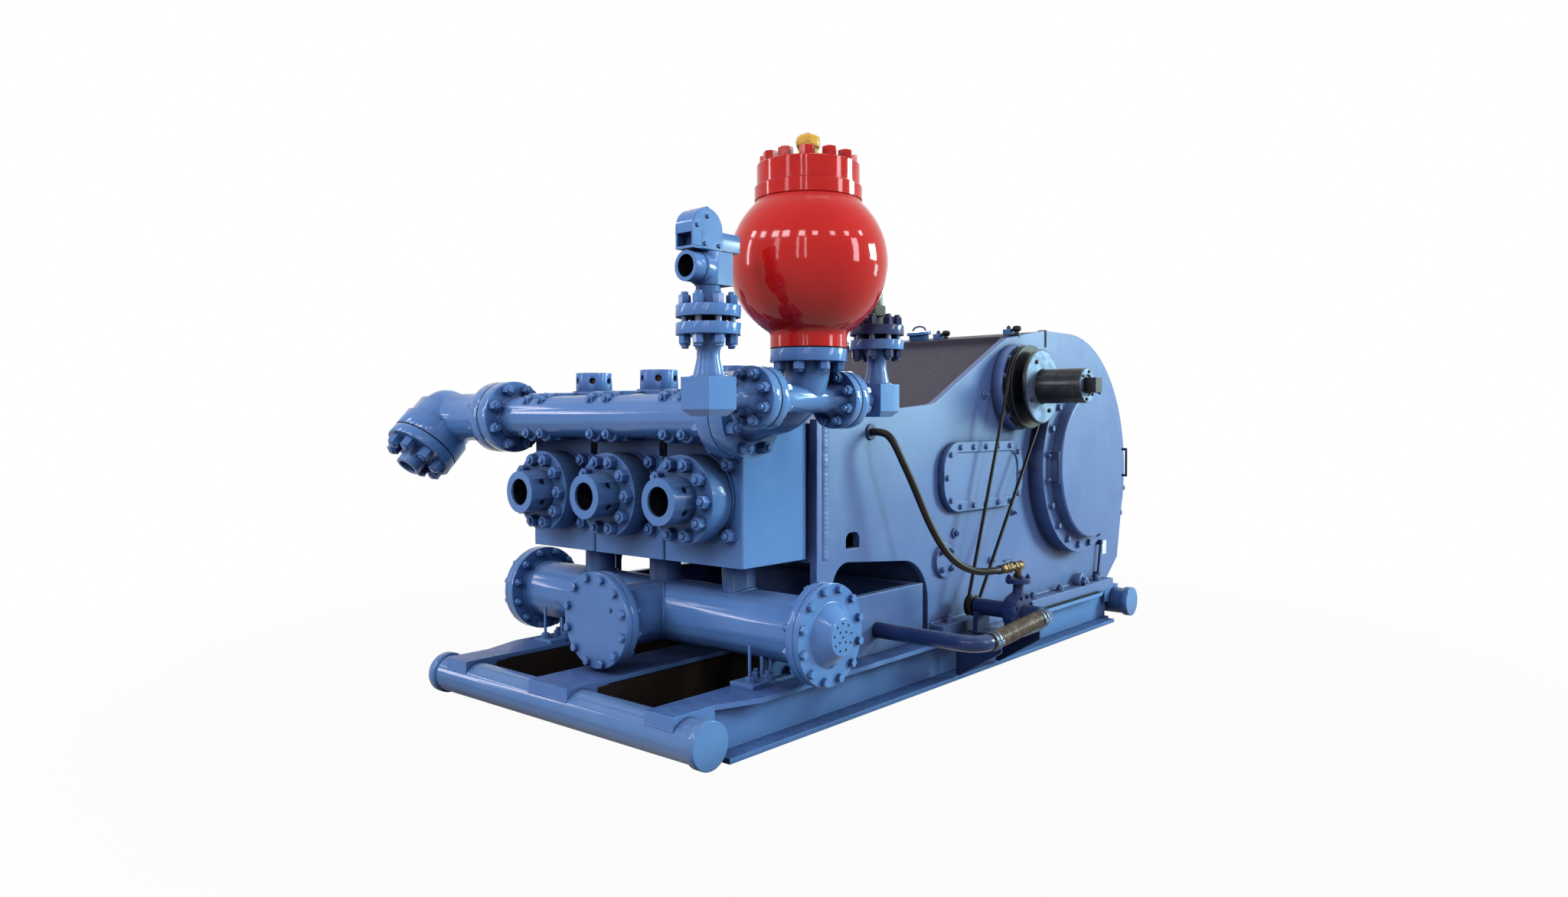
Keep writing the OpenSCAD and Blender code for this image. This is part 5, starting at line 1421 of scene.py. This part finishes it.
@dataclass
class DischargeLine:
    """Nuts, gaskets and welds of the discharge manifold, its elbow and its cross."""

    end_nut: Fastener = Fastener(50, 42, 34, 14)
    outlet_nut: Fastener = Fastener(64, 56, 42, 10)
    seat_nut: Fastener = Fastener(44, 36, 30, 10)
    branch_nut: Fastener = Fastener(38, 32, 26, 14)
    axis_y: float = -1939.0
    axis_z: float = 1526.0
    joint_x: float = 883.0
    joint_grip: float = 162.0
    joint_pitch: float = 316.0
    joint_gasket: Triple = (374.0, 200.0, 5.8)
    neck_x: float = 800.0
    neck_d: float = 222.0
    corner_x: float = -1500.0
    outlet_way: Triple = (0.0, -0.669131, -0.743145)
    outlet_gasket: Triple = (380.0, 200.0, 5.6)
    outlet_seat: float = 213.2
    outlet_face: float = 281.0
    outlet_pitch: float = 292.0
    outlet_neck_d: float = 146.0
    damper_x: float = 1285.0
    seat_z: float = 1745.0
    seat_t: float = 52.2
    seat_pitch: float = 262.0
    seat_gasket: Triple = (312.0, 180.0, 5.6)
    branch_z: float = 1590.0
    branch_joints: Pair = (-2257.0, -1723.0)
    branch_grip: float = 96.0
    branch_pitch: float = 196.0
    branch_gasket: Triple = (253.2, 240.0, 2.0)
    sleeves: Pair = (-2535.0, -1445.0)
    sleeve_z: float = 1664.0
    sleeve_d: float = 132.0

    def build(self) -> None:
        """Bolt the line up from end to end."""
        nuts = Sketch("discharge_nuts", Finish.BLUE)
        gaskets = Sketch("discharge_gaskets", Finish.GASKET)
        for side in Side:
            centre = at(side.value * self.joint_x, self.axis_y, self.axis_z)
            nuts.joint(self.end_nut, centre, X_AXIS, self.joint_grip, self.joint_pitch)
            gaskets.hoop(centre - X_AXIS * (self.joint_gasket[2] / 2.0 * MM), X_AXIS, *self.joint_gasket)
        self.outlet(nuts, gaskets)
        seat = at(self.damper_x, self.axis_y, self.seat_z)
        nuts.fasteners(self.seat_nut, ring_places(seat, Z_AXIS, self.seat_pitch, 8, EIGHT_START), -Z_AXIS)
        gaskets.hoop(seat + at(0, 0, self.seat_t), Z_AXIS, *self.seat_gasket)
        for y in self.branch_joints:
            middle = at(self.damper_x, y, self.branch_z)
            nuts.joint(self.branch_nut, middle, Y_AXIS, self.branch_grip, self.branch_pitch)
            gaskets.hoop(middle - Y_AXIS * (self.branch_gasket[2] / 2.0 * MM), Y_AXIS, *self.branch_gasket, 48)
        nuts.finish_piece()
        gaskets.finish_piece()
        self.welds()

    def outlet(self, nuts: Sketch, gaskets: Sketch) -> None:
        """Bolt the companion flange on the elbow's outlet.

        Args:
            nuts: Sketch that takes the nuts.
            gaskets: Sketch that takes the gasket.
        """
        way = Vector(self.outlet_way)
        corner = at(self.corner_x, self.axis_y, self.axis_z)
        gaskets.hoop(corner + way * (self.outlet_seat * MM), way, *self.outlet_gasket)
        face = corner + way * (self.outlet_face * MM)
        nuts.fasteners(self.outlet_nut, ring_places(face, way, self.outlet_pitch, 8, 12.0), way, 19.0)
        nuts.bead(ring_places(face, way, self.outlet_neck_d, 32), 9.0)

    def welds(self) -> None:
        """Weld the necks of the end flanges and the cross's sleeves."""
        welds = Sketch("discharge_welds", Finish.BLUE)
        for side in Side:
            neck = at(side.value * self.neck_x, self.axis_y, self.axis_z)
            welds.bead(ring_places(neck, X_AXIS, self.neck_d, 56), 12.0)
        for y in self.sleeves:
            welds.bead(ring_places(at(self.damper_x, y, self.sleeve_z), Z_AXIS, self.sleeve_d, 40), 5.0)
        welds.finish_piece()


@dataclass
class Dampener:
    """The dampener's red shell and lid with their nuts, and its lumpy yellow charging cap.

    The collar is its radius and the heights of its two faces over the foot.
    """

    nut: Fastener = Fastener(54, 40, 34, 4)
    axis: Pair = (1285.0, -1939.0)
    foot_z: float = 1803.0
    foot_r: float = 162.0
    foot_fillet: float = 30.0
    ball_r: float = 332.0
    ball_h: float = 353.0
    ball_steps: int = 40
    throat_r: float = 214.0
    throat_fillet: float = 80.0
    collar: Triple = (225.0, 609.0, 668.0)
    lid_r: float = 215.0
    lid_boss: Triple = (210.0, 120.0, 16.0)
    top_z: float = 2563.0
    pitch: float = 352.0
    count: int = 12
    sides: int = 128
    cap_profile: Profile = (
        (0, 0), (50, 0), (50, 46), (42, 54), (41, 66), (52, 76), (55, 100), (49, 120), (31, 134), (0, 138),
    )
    cap_mid: float = 90.0
    lump_mm: Pair = (42.0, 16.0)
    lump_depth: Pair = (7.0, 1.2)
    lump_inset: float = 3.0

    def build(self) -> None:
        """Set the nuts on the lid, and make the shell and the cap."""
        x, y = self.axis
        nuts = Sketch("dampener_nuts", Finish.RED)
        nuts.fasteners(self.nut, ring_places(at(x, y, self.top_z), Z_AXIS, self.pitch, self.count, 8.0), Z_AXIS)
        nuts.hoop(at(x, y, self.top_z - 4), Z_AXIS, *self.lid_boss)
        nuts.finish_piece()
        self.shell()
        self.cap()

    def shell(self) -> None:
        """Turn the ball with its filleted foot and throat and its collar, and the lid on top of it."""
        x, y = self.axis
        rim, low, high = self.collar
        foot = (self.foot_r, self.foot_fillet, -1.0)
        throat = (self.throat_r, self.throat_fillet, 1.0)
        low_turn, high_turn = self.touch(*foot), self.touch(*throat)
        profile = [(0.0, 0.0), (self.foot_r, 0.0), *self.fillet(*foot)]
        for i in range(1, self.ball_steps):
            a = low_turn + (high_turn - low_turn) * i / self.ball_steps
            profile.append((self.ball_r * math.cos(a), self.ball_h + self.ball_r * math.sin(a)))
        profile += [p for p in self.fillet(*throat) if p[1] < low]
        profile += [(rim - 4, low), (rim, low + 3), (rim, high - 3), (rim - 3, high), (0.0, high)]
        shell = Sketch("dampener_shell", Finish.RED)
        shell.lathe(stand(at(x, y, self.foot_z), Z_AXIS), profile, self.sides)
        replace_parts(shell.finish_piece(), "dampener_body")
        lid = Sketch("dampener_lid", Finish.RED)
        base = self.foot_z + high
        rise = self.top_z - base
        r = self.lid_r
        profile = [(0, 0), (r - 2, 0), (r, 2), (r, rise - 4), (r - 4, rise), (0, rise)]
        lid.lathe(stand(at(x, y, base), Z_AXIS), profile, self.sides)
        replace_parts(lid.finish_piece(), "dampener_cover")

    def touch(self, neck_r: float, radius: float, way: float) -> float:
        """Angle on the ball where a neck's fillet meets it.

        Args:
            neck_r: Radius of the neck, in millimetres.
            radius: Radius of the fillet, in millimetres.
            way: 1 for the neck above the ball and -1 for the one below.

        Returns:
            The angle from the ball's equator, in radians.
        """
        return way * math.acos((neck_r + radius) / (self.ball_r + radius))

    def fillet(self, neck_r: float, radius: float, way: float) -> list[Pair]:
        """Points of the fillet between the ball and a neck, from the lower end up.

        Args:
            neck_r: Radius of the neck, in millimetres.
            radius: Radius of the fillet, in millimetres.
            way: 1 for the neck above the ball and -1 for the one below.

        Returns:
            Radius and height of each point.
        """
        turn = abs(self.touch(neck_r, radius, way))
        rise = self.ball_h + way * (self.ball_r + radius) * math.sin(turn)
        points = []
        for i in range(13):
            a = turn * i / 12
            points.append((neck_r + radius - radius * math.cos(a), rise - way * radius * math.sin(a)))
        return points if way < 0 else points[::-1]

    def cap(self) -> None:
        """Cast the charging cap: a rounded plug on a neck, under a thick, uneven coat of paint."""
        x, y = self.axis
        sketch = Sketch("charging_cap_cast", Finish.YELLOW)
        sketch.lathe(stand(at(x, y, self.top_z), Z_AXIS), self.cap_profile, 28)
        bmesh.ops.subdivide_edges(sketch.mesh, edges=sketch.mesh.edges, cuts=2, use_grid_fill=True)
        middle = at(x, y, self.top_z + self.cap_mid)
        for vert in sketch.mesh.verts:
            lump = sum(noise.noise(vert.co * per_metre(size)) * depth
                       for size, depth in zip(self.lump_mm, self.lump_depth))
            if vert.co.z > middle.z - 20.0 * MM:
                vert.co += (vert.co - middle).normalized() * (lump - self.lump_inset) * MM
        piece = sketch.finish_piece(80.0)
        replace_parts(piece, "dampener_charging_cap")


@dataclass
class ReliefAndGauge:
    """Stud rings of the two risers, the relief valve's folded hood and outlet, and the gauge stub's sleeve."""

    nut: Fastener = Fastener(40, 36, 28, 12)
    hood_screw: Fastener = Fastener(17, 8)
    risers: Pair = (-2535.0, -1445.0)
    axis_x: float = 1285.0
    pitch: float = 190.0
    low_z: float = 1820.0
    high_z: float = 1930.0
    gap: Pair = (1864.0, 1886.0)
    gap_ring: Pair = (136.0, 80.0)
    shank: Profile = ((0, 0), (13, 0), (13, 24), (0, 24))
    stem_d: float = 52.0
    outlet_z: float = 2068.0
    outlet_d: float = 116.0
    outlet_l: float = 56.0
    bore_l: float = 24.0
    # A dark cup in the outlet: painted shade inside its bore.
    bore: Profile = ((0, 0), (41.4, 0), (41.4, 90))
    hood_z: float = 2130.0
    hood_w: float = 158.0
    hood_l: float = 92.0
    arch: Pair = (-45.0, 76.0)
    crest_y: Pair = (-49.0, -41.0)
    crest_z: Pair = (152.0, 158.0)
    lip_y: Pair = (-123.0, -79.0)
    lip_h: float = 61.0
    lip_z: float = 58.0
    sheet_t: float = 9.0
    lever_y: Pair = (34.0, 141.0)
    lever_z: Pair = (8.0, 76.0)
    lever_half: float = 32.0
    screws: tuple[Pair, ...] = ((-98.0, 84.0), (14.0, 20.0), (-45.0, 122.0), (-60.0, 20.0))

    def build(self) -> None:
        """Bolt the risers, and dress the relief valve and the gauge stub."""
        shanks = Sketch("riser_studs", Finish.STEEL)
        rings = Sketch("riser_gaskets", Finish.GASKET)
        for y, name, finish in zip(self.risers, ("relief", "gauge"), (Finish.BLUE, Finish.NAVY)):
            nuts = Sketch(f"{name}_riser_nuts", finish)
            middle = at(self.axis_x, y, (self.low_z + self.high_z) / 2.0)
            nuts.joint(self.nut, middle, Z_AXIS, self.high_z - self.low_z, self.pitch)
            nuts.finish_piece()
            low = at(self.axis_x, y, self.gap[0] - 1.0)
            for spot in ring_places(low, Z_AXIS, self.pitch, 8, EIGHT_START):
                shanks.lathe(stand(spot, Z_AXIS), self.shank, 14)
            rings.hoop(low, Z_AXIS, *self.gap_ring, self.gap[1] - self.gap[0] + 2.0, 40)
        shanks.finish_piece()
        rings.finish_piece()
        self.hood()
        self.outlet()
        self.stem()

    def stem(self) -> None:
        """Sleeve the gauge stub's stem in grey-green primer, with a hexagon halfway up."""
        sleeve = Sketch("gauge_stem_sleeve", Finish.GREEN_GREY)
        r = self.stem_d / 2.0
        foot = stand(at(self.axis_x, self.risers[1], self.high_z), Z_AXIS)
        sleeve.lathe(foot, [(r + 14, 0), (r + 12, 10), (r + 1, 16), (r + 1, 44)], 28)
        sleeve.lathe(foot, [(r + 1, 91), (r + 1, 146), (r - 3, 151), (0, 151)], 28)
        sleeve.lathe(foot, [(r, 44), (r * 1.75, 45), (r * 1.75, 88), (r * 1.5, 92), (r, 92)], 6)
        sleeve.finish_piece()

    def hood(self) -> None:
        """Fold the relief valve's arched hood from sheet, with its forward lip and the lever bar behind."""
        x, y, z, half = self.axis_x, self.risers[0], self.hood_z, self.hood_l / 2.0
        width = (x - half, x + half)
        sheet = Sketch("relief_hood_folded", Finish.BLUE)
        # The outline is drawn in Y and Z, and runs along X.
        flat = Matrix(((0, 0, 1, 0), (1, 0, 0, 0), (0, 1, 0, 0), (0, 0, 0, 1)))
        r = self.hood_w / 2.0
        turns = [math.pi * k / 18 for k in range(19)]
        arch = [(r * math.cos(a) + self.arch[0], self.arch[1] + r * math.sin(a)) for a in turns]
        back, front = self.lip_y[1], self.arch[0] - r
        outline = [(back, 0.0), (self.lever_y[0], 0.0), *arch, (front, self.lip_z), (back, self.lip_z)]
        sheet.slab(Matrix.Translation(at(width[0], y, z)) @ flat, outline, self.hood_l, 4.0)
        sheet.box(width, [y + v for v in self.crest_y], [z + v for v in self.crest_z])
        t = self.sheet_t
        lip = [y + v for v in self.lip_y]
        for left, right, low, high in ((-half, half, 0.0, t), (-half, t - half, t, self.lip_h),
                                       (half - t, half, t, self.lip_h)):
            sheet.box((x + left, x + right), lip, (z + low, z + high))
        lever = (x - self.lever_half, x + self.lever_half)
        sheet.box(lever, [y + v for v in self.lever_y], [z + v for v in self.lever_z], 3.0)
        for dy, rise in self.screws:
            self.hood_screw.add(sheet, at(x + half, y + dy, z + rise), X_AXIS, dy)
        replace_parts(sheet.finish_piece(), "relief_valve_hood")

    def outlet(self) -> None:
        """Add the relief valve's outlet weld, and a dark cup in its bore as painted shade."""
        y = self.risers[0]
        weld = Sketch("relief_outlet_weld", Finish.BLUE)
        foot = at(self.axis_x, y - self.outlet_l, self.outlet_z)
        weld.bead(ring_places(foot, Y_AXIS, self.outlet_d, 36), 5.0)
        weld.finish_piece()
        bore = Sketch("relief_bore", Finish.GREASE)
        bore.lathe(stand(at(self.axis_x, y - self.bore_l, self.outlet_z), -Y_AXIS), self.bore, 36)
        bore.finish_piece()


@dataclass
class PowerEnd:
    """Bolts, plugs, welds, latches and small fittings of the crankcase frame.

    A place on a side plate is its Y and Z. The rear arc is the curved rear's centre and radius.
    """

    rim_bolt: Fastener = Fastener(26, 16, 0, 0, 38)
    bearing_bolt: Fastener = Fastener(38, 24, 0, 0, 54)
    pinion_bolt: Fastener = Fastener(30, 14)
    port_bolt: Fastener = Fastener(30, 18, 18, 10)
    drain_plug: Fastener = Fastener(64, 34, 30, 8)
    foot_bolt: Fastener = Fastener(44, 28, 28, 16, 66)
    block_nut: Fastener = Fastener(26, 16, 16, 8)
    plate_x: float = 836.0
    window: Pair = (280.0, 1167.0)
    window_face: float = 880.0
    rim_long: tuple[float, ...] = (-300.0, -150.0, 0.0, 150.0, 300.0)
    rim_high: float = 175.0
    rim_corner: Pair = (408.0, 134.0)
    rim_end: float = 449.0
    main: Pair = (1525.0, 1192.0)
    main_face: float = 946.0
    main_pitch: float = 1122.0
    pinion: Pair = (695.0, 1715.0)
    pinion_face: float = 910.0
    pinion_pitch: float = 506.0
    port: Pair = (-145.0, 685.0)
    port_d: float = 203.0
    port_t: float = 22.0
    port_pitch: float = 146.0
    drain: Pair = (1642.0, 350.0)
    drain_d: float = 122.0
    drain_l: float = 60.0
    plugs: tuple[Triple, ...] = (
        (2048.0, 296.0, 30.0), (410.0, 626.0, 22.0), (-21.0, 832.0, 30.0), (330.0, 1660.0, 26.0), (700.0, 905.0, 20.0),
    )
    rear_arc: Triple = (1545.0, 1130.0, 980.0)
    latch_bow: tuple[Pair, ...] = (
        (-9.0, 10.0), (-11.0, 26.0), (-13.5, 30.0), (-16.0, 22.0), (-18.5, 20.0), (-20.5, 8.0),
    )
    foot_y: tuple[float, ...] = (-150.0, 640.0, 900.0, 1300.0, 1900.0)
    foot_x: float = 884.0
    foot_z: float = 326.0
    strip: Pair = (-1280.0, -1228.0)
    strip_z: Pair = (800.0, 1504.0)
    edge_y: float = -1322.0
    edge_z: Pair = (796.0, 1504.0)
    rail_y: Pair = (-285.0, 2105.0)
    rail_z: float = 328.0
    sight: tuple[Pair, ...] = ((2028.0, 595.0), (1978.0, 360.0))
    sight_gland: Profile = ((0, 0), (19, 0), (19, 20), (15, 38), (0, 40))
    tag: Pair = (2145.0, 545.0)
    tag_outline: Profile = ((-36, -52), (36, -52), (36, 52), (-36, 52))
    loop: Pair = (70.0, 782.0)
    loop_r: Pair = (52.0, 30.0)
    deck_y: float = 780.0
    block_x: Pair = (228.0, 763.0)
    block_z: float = 2098.0
    eye_x: Pair = (288.0, 822.0)
    eye_z: float = 2050.0
    eye: Profile = ((0, 0), (24, 0), (24, 14), (15, 20), (15, 28), (27, 38), (30, 50), (24, 64), (0, 70))
    strap_x: Pair = (786.0, 840.0)
    strap_y: Pair = (1150.0, 1170.0)
    strap_z: Pair = (1996.0, 2114.0)

    def build(self) -> None:
        """Dress both sides and the top."""
        bolts = Sketch("frame_bolts", Finish.PLATE)
        welds = Sketch("frame_welds", Finish.PLATE)
        for side in Side:
            self.inspection(side, bolts)
            self.bearing(side, bolts)
            self.fittings(side, bolts)
            self.welds(side, welds)
        bolts.finish_piece()
        welds.finish_piece()
        for side in Side:
            self.sight_tube(side)
        self.hood()

    def inspection(self, side: Side, bolts: Sketch) -> None:
        """Bolt the inspection cover's rim.

        Args:
            side: Which side.
            bolts: Sketch that takes the bolts.
        """
        y, z = self.window
        corner_y, corner_z = self.rim_corner
        spots = [(dy, way * self.rim_high) for dy in self.rim_long for way in (-1, 1)]
        spots += [(i * corner_y, k * corner_z) for i in (-1, 1) for k in (-1, 1)]
        spots += [(way * self.rim_end, 0.0) for way in (-1, 1)]
        places = [at(side.value * self.window_face, y + dy, z + dz) for dy, dz in spots]
        bolts.fasteners(self.rim_bolt, places, side.out)

    def bearing(self, side: Side, bolts: Sketch) -> None:
        """Bolt the flanges of the main bearing's cover and the pinion's bearing.

        Args:
            side: Which side.
            bolts: Sketch that takes the bolts.
        """
        main = at(side.value * self.main_face, *self.main)
        bolts.fasteners(self.bearing_bolt, ring_places(main, X_AXIS, self.main_pitch, 20, 9.0), side.out)
        pinion = at(side.value * self.pinion_face, *self.pinion)
        bolts.fasteners(self.pinion_bolt, ring_places(pinion, X_AXIS, self.pinion_pitch, 12, 15.0), side.out)

    def fittings(self, side: Side, bolts: Sketch) -> None:
        """Add the blind port's bolts, the drain's plug, the small plugs, the latch and the foot bolts of one side.

        Args:
            side: Which side.
            bolts: Sketch that takes the fittings.
        """
        s = side.value
        port = at(s * (self.plate_x + self.port_t), *self.port)
        bolts.fasteners(self.port_bolt, ring_places(port, X_AXIS, self.port_pitch, 4, 45.0), side.out)
        drain = at(s * (self.plate_x + self.drain_l), *self.drain)
        bolts.lathe(stand(drain, side.out), [(59, 0), (52, 5), (0, 5)], 32)
        self.drain_plug.add(bolts, drain, side.out)
        for y, z, flats in self.plugs:
            spot = at(s * self.plate_x, y, z)
            bolts.lathe(stand(spot, side.out), [(flats, -2), (flats, 8), (flats - 4, 12), (0, 12)], 24)
            Fastener(flats, 20, flats * 0.6, 8).add(bolts, spot + side.out * 10.0 * MM, side.out, y)
        self.latch(side, bolts)
        for y in self.foot_y:
            self.foot_bolt.add(bolts, at(s * self.foot_x, y, self.foot_z), Z_AXIS, y)

    def latch(self, side: Side, bolts: Sketch) -> None:
        """Hang the rear door's latch on the plate's edge, as a bowed bar between two bosses.

        Args:
            side: Which side.
            bolts: Sketch that takes the latch.
        """
        x = side.value * (self.plate_x - 22.0)
        y, z, radius = self.rear_arc
        spots = []
        for turn, bow in self.latch_bow:
            a = math.radians(turn)
            spots.append(at(x, y + (radius + bow) * math.cos(a), z + (radius + bow) * math.sin(a)))
        bolts.tube(spots, 10.0, 10)
        for spot in (spots[0], spots[-1]):
            boss = stand(spot - side.out * 24.0 * MM, side.out)
            bolts.lathe(boss, [(0, 0), (20, 0), (20, 44), (15, 50), (0, 50)], 18)

    def welds(self, side: Side, welds: Sketch) -> None:
        """Weld the front strip, the foot rail, the port and the drain of one side plate.

        Args:
            side: Which side.
            welds: Sketch that takes the welds.
        """
        x = side.value * self.plate_x
        middle = sum(self.strip) / 2.0
        strip = [at(x, middle, z) for z in self.strip_z]
        edge = [at(x, self.edge_y, z) for z in self.edge_z]
        rail = [at(x, y, self.rail_z) for y in self.rail_y]
        welds.seam(*strip, side.out, self.strip[1] - self.strip[0], 7.0)
        welds.seam(*edge, side.out, 12.0, 5.0)
        welds.seam(*rail, side.out, 22.0, 10.0)
        for centre, size in ((self.port, self.port_d), (self.drain, self.drain_d)):
            welds.bead(ring_places(at(x, *centre), X_AXIS, size, 48), 6.0)

    def sight_tube(self, side: Side) -> None:
        """Fit the oil level's sight tube with its two glands, and a blank tag beside it.

        Args:
            side: Which side.
        """
        name = side.name.lower()
        tube = Sketch(f"sight_tube_{name}", Finish.PUMP_BLUE)
        tube.tube([at(side.value * (self.plate_x + 26.0), *end) for end in self.sight], 9.0, 12)
        for end in self.sight:
            tube.lathe(stand(at(side.value * self.plate_x, *end), side.out), self.sight_gland, 18)
        tube.finish_piece()
        tag = Sketch(f"blank_tag_{name}", Finish.TAG)
        tag.slab(stand(at(side.value * (self.plate_x + 1.0), *self.tag), side.out), self.tag_outline, 3, 1)
        tag.finish_piece()

    def hood(self) -> None:
        """Put the loop on the breather, nuts on the lifting blocks, eyes beside them and straps on the crest."""
        irons = Sketch("hood_irons", Finish.PUMP_BLUE)
        top = Span.of("hood_fittings").high.z / MM
        turns = [math.pi * k / 14 for k in range(15)]
        (x, y), (reach, rise) = self.loop, self.loop_r
        irons.tube([at(x + reach * math.cos(a), y, top - 4 + rise * math.sin(a)) for a in turns], 6.0, 10)
        for x in self.block_x:
            self.block_nut.add(irons, at(x, self.deck_y, self.block_z), Z_AXIS)
        irons.finish_piece()
        eyes = Sketch("hood_eyes", Finish.GREASE)
        for x in self.eye_x:
            eyes.lathe(stand(at(x, self.deck_y, self.eye_z), Z_AXIS), self.eye, 24)
        eyes.finish_piece()
        strap = Sketch("crest_strap", Finish.GASKET)
        for side in Side:
            strap.box(side.span(*self.strap_x), self.strap_y, self.strap_z)
        strap.finish_piece()


@dataclass
class PinionDrive:
    """The pinion shaft's light disc, its end rings and their bolts, which turn with the shaft."""

    disc_bolt: Fastener = Fastener(24, 12)
    end_bolt: Fastener = Fastener(17, 9)
    axis_y: float = 695.0
    axis_z: float = 1715.0
    disc_face: float = 1046.0
    disc_d: float = 452.0
    disc_t: float = 3.0
    disc_pitch: float = 350.0
    shaft_end: float = 1338.0
    shaft_d: float = 216.0
    end_ring: Triple = (204.0, 136.0, 8.0)
    end_pitch: float = 172.0

    def build(self) -> None:
        """Dress both ends of the shaft."""
        light = Sketch("pinion_disc_face", Finish.STEEL, PINION)
        dark = Sketch("pinion_disc_bolts", Finish.GREASE, PINION)
        for side in Side:
            disc = at(side.value * self.disc_face, self.axis_y, self.axis_z)
            if side is Side.RIGHT:
                light.hoop(disc, side.out, self.disc_d, self.shaft_d + 10, self.disc_t)
                face = disc + side.out * self.disc_t * MM
                dark.fasteners(self.disc_bolt, ring_places(face, X_AXIS, self.disc_pitch, 4, 30.0), side.out)
            end = at(side.value * self.shaft_end, self.axis_y, self.axis_z)
            light.hoop(end, side.out, *self.end_ring)
            face = end + side.out * self.end_ring[2] * MM
            dark.fasteners(self.end_bolt, ring_places(face, X_AXIS, self.end_pitch, 6, 20.0), side.out)
        light.finish_piece()
        dark.finish_piece()


@dataclass
class SprayPump:
    """Bolts of the liner-wash pump, its ribbed suction hose and the brass valve's ferrules."""

    flange_bolt: Fastener = Fastener(22, 14, 12, 8)
    face_bolt: Fastener = Fastener(20, 12)
    axis_y: float = -5.0
    axis_z: float = 414.0
    face_x: float = 1286.0
    face_pitch: float = 180.0
    flange: Triple = (1249.0, -5.0, 604.0)
    flange_t: float = 14.0
    flange_pitch: float = 112.0
    hose_d: float = 94.0
    hose_start: Triple = (1450.0, -705.0, 378.0)
    hose_end: Triple = (1450.0, -105.0, 414.0)
    hose_steps: int = 220
    ribs: float = 30.0
    rib_depth: float = 2.6
    clamp_w: float = 14.0
    clamp_ear: Triple = (7.0, 14.0, 11.0)
    clamps: tuple[float, ...] = (0.03, 0.09, 0.91, 0.97)
    tail: Triple = (1249.0, -205.0, 674.0)
    tail_ring: Triple = (49.0, 36.0, 24.0)
    tail_ring_back: float = 30.0
    ferrules: tuple[Triple, ...] = ((8.0, 54.0, 26.0), (44.0, 58.0, 22.0))

    def build(self) -> None:
        """Dress the small pump and its lines."""
        bolts = Sketch("spray_pump_bolts", Finish.PUMP_BLUE)
        flange = at(*self.flange)
        for face, way in ((flange, Z_AXIS), (flange - at(0, 0, self.flange_t), -Z_AXIS)):
            bolts.fasteners(self.flange_bolt, ring_places(face, Z_AXIS, self.flange_pitch, 4, 45.0), way)
        face = at(self.face_x, self.axis_y, self.axis_z)
        bolts.fasteners(self.face_bolt, ring_places(face, X_AXIS, self.face_pitch, 8, EIGHT_START), X_AXIS)
        bolts.finish_piece()
        self.suction_hose()
        self.brass()

    def suction_hose(self) -> None:
        """Sweep the ribbed suction hose over its solid, with two clamps at each end."""
        start, end = Vector(self.hose_start) * MM, Vector(self.hose_end) * MM
        count = self.hose_steps
        points = []
        for i in range(count + 1):
            t = i / count
            ease = t * t * (3.0 - 2.0 * t)
            points.append(Vector((start.x, start.y + (end.y - start.y) * t, start.z + (end.z - start.z) * ease)))
        hose = Sketch("suction_hose_ribbed", Finish.RIBBED)
        mean, wave = self.hose_d / 2.0 - self.rib_depth, self.ribs * 2.0 * math.pi
        hose.tube(points, lambda share: mean + self.rib_depth * math.cos(share * wave), 24)
        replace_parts(hose.finish_piece(50.0), "spray_suction_hose")
        clamps = Sketch("hose_clamps", Finish.STEEL)
        for share in self.clamps:
            i = round(share * count)
            ahead = (points[min(i + 1, count)] - points[max(i - 1, 0)]).normalized()
            foot = points[i] - ahead * (self.clamp_w / 2.0 * MM)
            clamps.hoop(foot, ahead, self.hose_d + 5, self.hose_d - 8, self.clamp_w, 36)
            ear = points[i] + X_AXIS * (self.hose_d / 2.0 + 3.0) * MM
            clamps.block(ear - at(*self.clamp_ear), ear + at(*self.clamp_ear))
        clamps.finish_piece()

    def brass(self) -> None:
        """Add the valve's hexagon ferrules and the black ring on the hose's tail."""
        brass = Sketch("wash_valve_ferrules", Finish.BRASS)
        ring = Sketch("wash_valve_ring", Finish.GASKET)
        tail = at(*self.tail)
        for start, size, depth in self.ferrules:
            r = size / 2.0
            brass.lathe(stand(tail + Y_AXIS * start * MM, Y_AXIS), [(0, 0), (r, 0), (r, depth), (0, depth)], 6)
        ring.hoop(tail - Y_AXIS * self.tail_ring_back * MM, Y_AXIS, *self.tail_ring, 32)
        brass.finish_piece()
        ring.finish_piece()


def report_sizes() -> None:
    """Bring the view layer up to date.
    """
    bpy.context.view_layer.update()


def main() -> None:
    """Build the pump's looks in order."""
    logging.basicConfig(level=logging.INFO, format="%(name)s: %(message)s")
    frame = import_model()
    Studio().build()
    WashHose().build()
    PackedNodes(frame["nodes"]).dress()
    for assembly in (Skid(), SuctionManifold(), FluidEnd(), DischargeLine(), Dampener(), ReliefAndGauge(), PowerEnd(),
                     PinionDrive(), SprayPump()):
        assembly.build()
    report_sizes()


if __name__ == "__main__":
    main()
